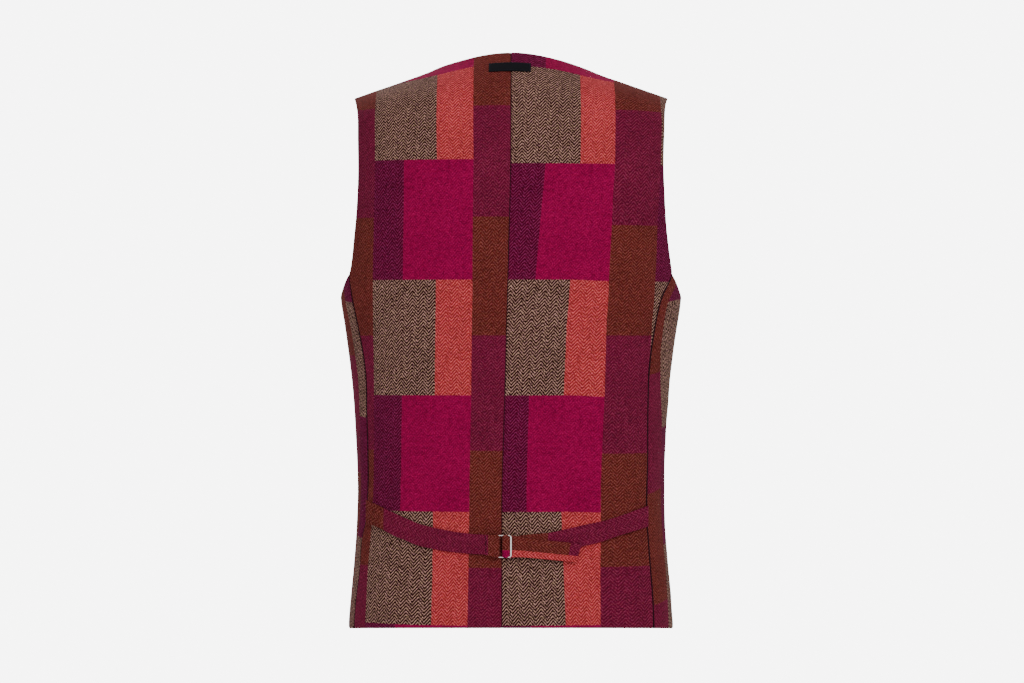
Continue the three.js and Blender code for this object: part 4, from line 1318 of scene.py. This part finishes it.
def noise(tree, vector, scale, detail, rough=0.5):
    node = tree.nodes.new("ShaderNodeTexNoise")
    tree.links.new(vector, node.inputs["Vector"])
    set_inputs(node, {"Scale": scale, "Detail": detail, "Roughness": rough})
    return node.outputs[0]


def colour(red, green, blue):
    """Shader colour from the red, green and blue of a picture, 0 to 255."""
    channels = [value / 255 for value in (red, green, blue)]
    linear = [v / 12.92 if v <= 0.04045 else ((v + 0.055) / 1.055) ** 2.4 for v in channels]
    return (*linear, 1.0)


# Dark and light yarn of each block of the check
YARNS = {
    "tan": (colour(32, 0, 0), colour(174, 133, 119)),
    "coral": (colour(141, 34, 38), colour(211, 89, 93)),
    "magenta": (colour(127, 5, 55), colour(145, 15, 70)),
    "purple": (colour(75, 0, 30), colour(122, 36, 79)),
    "brown": (colour(84, 24, 21), colour(121, 63, 58)),
    "wine": (colour(91, 9, 39), colour(122, 42, 68)),
}
STRIPE_WIDTH = 5.7
TWILL_PITCH = 3.5
TWILL_SLOPE = 1.2

# Noise in the wool: scale, detail and roughness of each layer, and the depth of those that lighten and
# darken it. The broadest layer, in blotches a few centimetres wide, is painted soft shading; the others are
# the wool's own tone. STRAY is how far yarns stray over a line of the check
FUZZ = (1000, 2)
STRAY = 2.4
DOTS = (900, 1)
GRAIN = (2600, 3, 0.6)
WORN = (240, 3, 0.6)
BROAD_SHADE = (28, 2)
WARM = (420, 4, 0.7)
TONE_BASE = -0.85
GRAIN_DEPTH = 0.7
WORN_DEPTH = 1.2
DOTS_DEPTH = 1.4
BROAD_SHADE_DEPTH = 0.4
WARM_DEPTH = 0.9


def checked_wool():
    """Wool in a herringbone twill with a large check, drawn from the cloth's flat place."""
    material, tree, shader = node_tree("checked_wool")
    add, subtract, multiply, divide, above, repeat, pingpong = [
        functools.partial(maths, tree, operation) for operation in (
            "ADD", "SUBTRACT", "MULTIPLY", "DIVIDE", "GREATER_THAN", "FLOORED_MODULO", "PINGPONG")]
    place = tree.nodes.new("ShaderNodeUVMap")
    place.uv_map = "cloth"
    flat = place.outputs[0]
    split = tree.nodes.new("ShaderNodeSeparateXYZ")
    tree.links.new(flat, split.inputs[0])
    stray = multiply(subtract(noise(tree, flat, *FUZZ), 0.5), STRAY)
    across = add(multiply(split.outputs[0], 1 / MILLIMETRE), stray)
    up = add(multiply(split.outputs[1], 1 / MILLIMETRE), stray)
    column = repeat(across, CHECK_WIDTH)
    in_narrow = above(column, BLOCK_WIDTH)
    past_tan = above(column, TAN_WIDTH)
    past_purple = above(column, PURPLE_WIDTH)
    block_row = repeat(subtract(up, BLOCK_ROW_START), CHECK_LENGTH * 2)
    light_row = multiply(above(block_row, CHECK_LENGTH), above(up, HEM_STRIP))
    wine_row = above(repeat(subtract(up, BROWN_ROW_START), CHECK_LENGTH * 2), CHECK_LENGTH)
    yarns = []
    for shade in (0, 1):
        light = mixed(tree, past_tan, YARNS["tan"][shade], YARNS["coral"][shade])
        deep = mixed(tree, past_purple, YARNS["purple"][shade], YARNS["magenta"][shade])
        wide = mixed(tree, light_row, deep, light)
        narrow = mixed(tree, wine_row, YARNS["brown"][shade], YARNS["wine"][shade])
        yarns.append(mixed(tree, in_narrow, wide, narrow))
    zigzag = multiply(pingpong(across, STRIPE_WIDTH), TWILL_SLOPE)
    wave = pingpong(divide(add(up, zigzag), TWILL_PITCH), 0.5)
    line = multiply(subtract(wave, 0.25), 10.0, clamp=True)
    dots = noise(tree, flat, *DOTS)
    spun = add(multiply(subtract(dots, 0.5), 2.4), 0.8)
    cloth = mixed(tree, multiply(line, spun, clamp=True), *yarns)
    grain = noise(tree, flat, *GRAIN)
    # The broad noise is painted soft shading across the cloth
    worn, broad_shade = noise(tree, flat, *WORN), noise(tree, flat, *BROAD_SHADE)
    tone = TONE_BASE
    for layer, depth in ((grain, GRAIN_DEPTH), (worn, WORN_DEPTH), (dots, DOTS_DEPTH), (broad_shade, BROAD_SHADE_DEPTH)):
        tone = add(multiply(layer, depth), tone)
    warmth = multiply(subtract(noise(tree, flat, *WARM), 0.5), WARM_DEPTH)
    tint = tree.nodes.new("ShaderNodeCombineColor")
    for channel, value in enumerate((tone, add(tone, warmth), subtract(tone, warmth))):
        tree.links.new(value, tint.inputs[channel])
    tree.links.new(mixed(tree, 1.0, cloth, tint.outputs[0], "MULTIPLY"), shader.inputs["Base Color"])
    set_inputs(shader, {
        "Roughness": 1.0, "Specular IOR Level": 0.03, "Sheen Weight": 0.015, "Sheen Roughness": 0.5})
    add_bump(tree, shader, add(line, multiply(grain, 0.9)), 0.5, 0.0003)
    return material


def plain(name, base, roughness, metallic=0.0, grain_scale=0.0, grain_depth=0.0):
    """Plain finish, with a fine grain in its surface where grain_scale gives one."""
    material, tree, shader = node_tree(name)
    set_inputs(shader, {
        "Base Color": base, "Roughness": roughness, "Metallic": metallic, "Specular IOR Level": 0.2})
    if grain_scale:
        coordinates = tree.nodes.new("ShaderNodeTexCoord")
        grain = noise(tree, coordinates.outputs["Object"], grain_scale, 3)
        add_bump(tree, shader, grain, 0.4, grain_depth)
    return material


def horn():
    """Dark brown horn-like resin with soft clouds."""
    material, tree, shader = node_tree("button_horn")
    coordinates = tree.nodes.new("ShaderNodeTexCoord")
    cloud = noise(tree, coordinates.outputs["Object"], 260, 3)
    share = maths(tree, "MULTIPLY", maths(tree, "SUBTRACT", cloud, 0.4), 3.0, clamp=True)
    base = mixed(tree, share, colour(38, 18, 16), colour(86, 48, 40))
    tree.links.new(base, shader.inputs["Base Color"])
    shader.inputs["Roughness"].default_value = 0.32
    return material


# Camera and lights in metres: the photograph is taken level from behind
CAMERA_PLACE = (-0.00101, 4.010, -0.2563)
CAMERA_LENS = 138.97
SENSOR_WIDTH = 36
LIGHT_TARGET = (0, 0, -0.27)
LIGHTS = (
    ("key", (-1.1, 2.3, 1.5), 1.1, 42),
    ("fill", (1.9, 2.4, 0.5), 1.8, 14),
    ("front_key", (1.1, -2.3, 1.5), 1.1, 42),
    ("front_fill", (-1.9, -2.4, 0.5), 1.8, 14),
)


def add_camera():
    data = bpy.data.cameras.new("photo_camera")
    data.sensor_width = SENSOR_WIDTH
    data.lens = CAMERA_LENS
    data.clip_start = 0.05
    data.clip_end = 100
    camera = bpy.data.objects.new("photo_camera", data)
    bpy.context.scene.collection.objects.link(camera)
    camera.location = CAMERA_PLACE
    camera.rotation_euler = (math.radians(90), 0, math.radians(180))
    bpy.context.scene.camera = camera


def add_light(name, place, size, power):
    data = bpy.data.lights.new(name, "AREA")
    data.shape = "SQUARE"
    data.size = size
    data.energy = power
    light = bpy.data.objects.new(name, data)
    bpy.context.scene.collection.objects.link(light)
    light.location = place
    towards = Vector(LIGHT_TARGET) - Vector(place)
    light.rotation_mode = "QUATERNION"
    light.rotation_quaternion = towards.to_track_quat("-Z", "Y")


# Studio in metres: the floor that a standing wearer would have, and a lit paper behind
FLOOR_HEIGHT = -1.45
FLOOR_REACH = 30
BACKDROP_AWAY = 6.0
BACKDROP_MIDDLE = -0.256
BACKDROP_WIDE = 3.4
BACKDROP_TALL = 2.3
BACKDROP_GLOW = 7.0
WORLD_STRENGTH = 0.62


def glowing(name, strength):
    material, _, shader = node_tree(name)
    set_inputs(shader, {
        "Base Color": (0, 0, 0, 1),
        "Specular IOR Level": 0,
        "Emission Color": (1, 1, 1, 1),
        "Emission Strength": strength,
    })
    return material


def add_studio():
    world = bpy.data.worlds.new("studio")
    world.use_nodes = True
    background = world.node_tree.nodes["Background"]
    set_inputs(background, {"Color": (1, 1, 1, 1), "Strength": WORLD_STRENGTH})
    bpy.context.scene.world = world
    reach = FLOOR_REACH
    corners = [[-reach, -reach], [reach, -reach], [reach, reach], [-reach, reach]]
    floor = mesh_only("floor", [[x, y, FLOOR_HEIGHT] for x, y in corners], [[0, 1, 2, 3]])
    floor.data.materials.append(plain("pale_floor", (0.9, 0.9, 0.9, 1), 1.0))
    low, high = BACKDROP_MIDDLE - BACKDROP_TALL / 2, BACKDROP_MIDDLE + BACKDROP_TALL / 2
    half = BACKDROP_WIDE / 2
    corners = [[-half, low], [half, low], [half, high], [-half, high]]
    panel = mesh_only("backdrop", [[x, -BACKDROP_AWAY, z] for x, z in corners], [[0, 1, 2, 3]])
    panel.data.materials.append(glowing("lit_paper", BACKDROP_GLOW))
    for light in LIGHTS:
        add_light(*light)


def finish_piece(piece, material, slot, *nodes):
    piece.data.materials.clear()
    piece.data.materials.append(material)
    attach(piece, "root")
    if nodes:
        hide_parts(*nodes)
    return piece


# Where the straps lie on the flat cloth. Across it: the place of the lower edge, on the
# right for each face of the strap. Up it: on the left from one distance along the strap on,
# drawn a little closer together than the strap is long; on the right at the root, where it
# turns wine to brown, where its turned end shows, and at the free end
LEFT_STRAP_ACROSS = 112
LEFT_STRAP_FROM = 18.5
LEFT_STRAP_UP = 291.5
LEFT_STRAP_DRAW = 1.12
RIGHT_STRAP_ACROSS = {1: BLOCK_WIDTH + 5, -1: BLOCK_WIDTH - 7}
RIGHT_STRAP_UP = ([0, 99.6, 155.2, 235], [275, 175.5, 115, 36])


def build_belts(wool):
    folded_end = [FOLDED_END_X, STRAP_UPPER, FOLDED_END_X, STRAP_LOWER, BAR_LIFT - TURN_RADIUS]
    left = strap_cloth(
        "belt_left_cloth",
        [*BELT_LEFT_ROWS, *turn_stations(LEFT_BAR_X, -1, True), folded_end],
        lambda down, facing: LEFT_STRAP_ACROSS + (1 - down) * STRAP_WIDTH,
        lambda distance: LEFT_STRAP_UP - (distance - LEFT_STRAP_FROM) * LEFT_STRAP_DRAW,
    )
    right = strap_cloth(
        "belt_right_cloth",
        [*BELT_RIGHT_ROWS, *turn_stations(CENTRE_BAR_X, 1, False), *TAIL_ROWS],
        lambda down, facing: RIGHT_STRAP_ACROSS[facing] + (1 - down) * STRAP_WIDTH,
        lambda distance: np.interp(distance, *RIGHT_STRAP_UP),
    )
    finish_piece(left, wool, "checked_wool", "belt_left")
    finish_piece(right, wool, "checked_wool", "belt_right")
    return left, right


def build_buttons(horn_material, thread_material):
    points, faces = button_mesh()
    threads, holes = [], []
    for place, height in enumerate(BUTTON_HEIGHTS):
        basis = button_basis(height)
        name = f"button_{place + 1}"
        button = model_object(f"{name}_horn", placed(points, basis), faces)
        button.data.shade_flat()
        finish_piece(button, horn_material, "button_horn", name)
        threads += button_thread(basis, 30 + place)
        holes += buttonhole(height)
    for name, meshes in (("button_threads", threads), ("buttonhole_stitches", holes)):
        finish_piece(model_object(name, *several(meshes)), thread_material, "checked_wool")


add_camera()
add_studio()
wool = checked_wool()
# Dark thread for stitches and buttons, also used in the seams as painted seam shade
thread = plain("dark_thread", colour(38, 6, 19), 1.0)
navy_thread = plain("navy_thread", colour(24, 26, 40), 0.8)

for panel_name, make, side in (
        ("back_left", back_cloth, 1), ("back_right", back_cloth, -1),
        ("front_left", front_cloth, 1), ("front_right", front_cloth, -1)):
    finish_piece(make(side, f"{panel_name}_cloth"), wool, "checked_wool", panel_name)

belt_left, belt_right = build_belts(wool)
finish_piece(buckle_wire(), plain("nickel", (1.0, 0.96, 0.93, 1), 0.3, 0.5), "buckle_wire", "buckle")
label_finish = plain("navy_label", colour(9, 9, 15), 1.0, 0, 2400, 0.0002)
label = finish_piece(label_cloth(), label_finish, "label_cloth", "neck_label")
finish_piece(label_stitches(), navy_thread, "label_cloth")
finish_piece(strap_stitches(), thread, "checked_wool")
# Seam threads: painted seam shade in the gaps between the panels
finish_piece(seam_lines(), thread, "checked_wool")
build_buttons(horn(), thread)
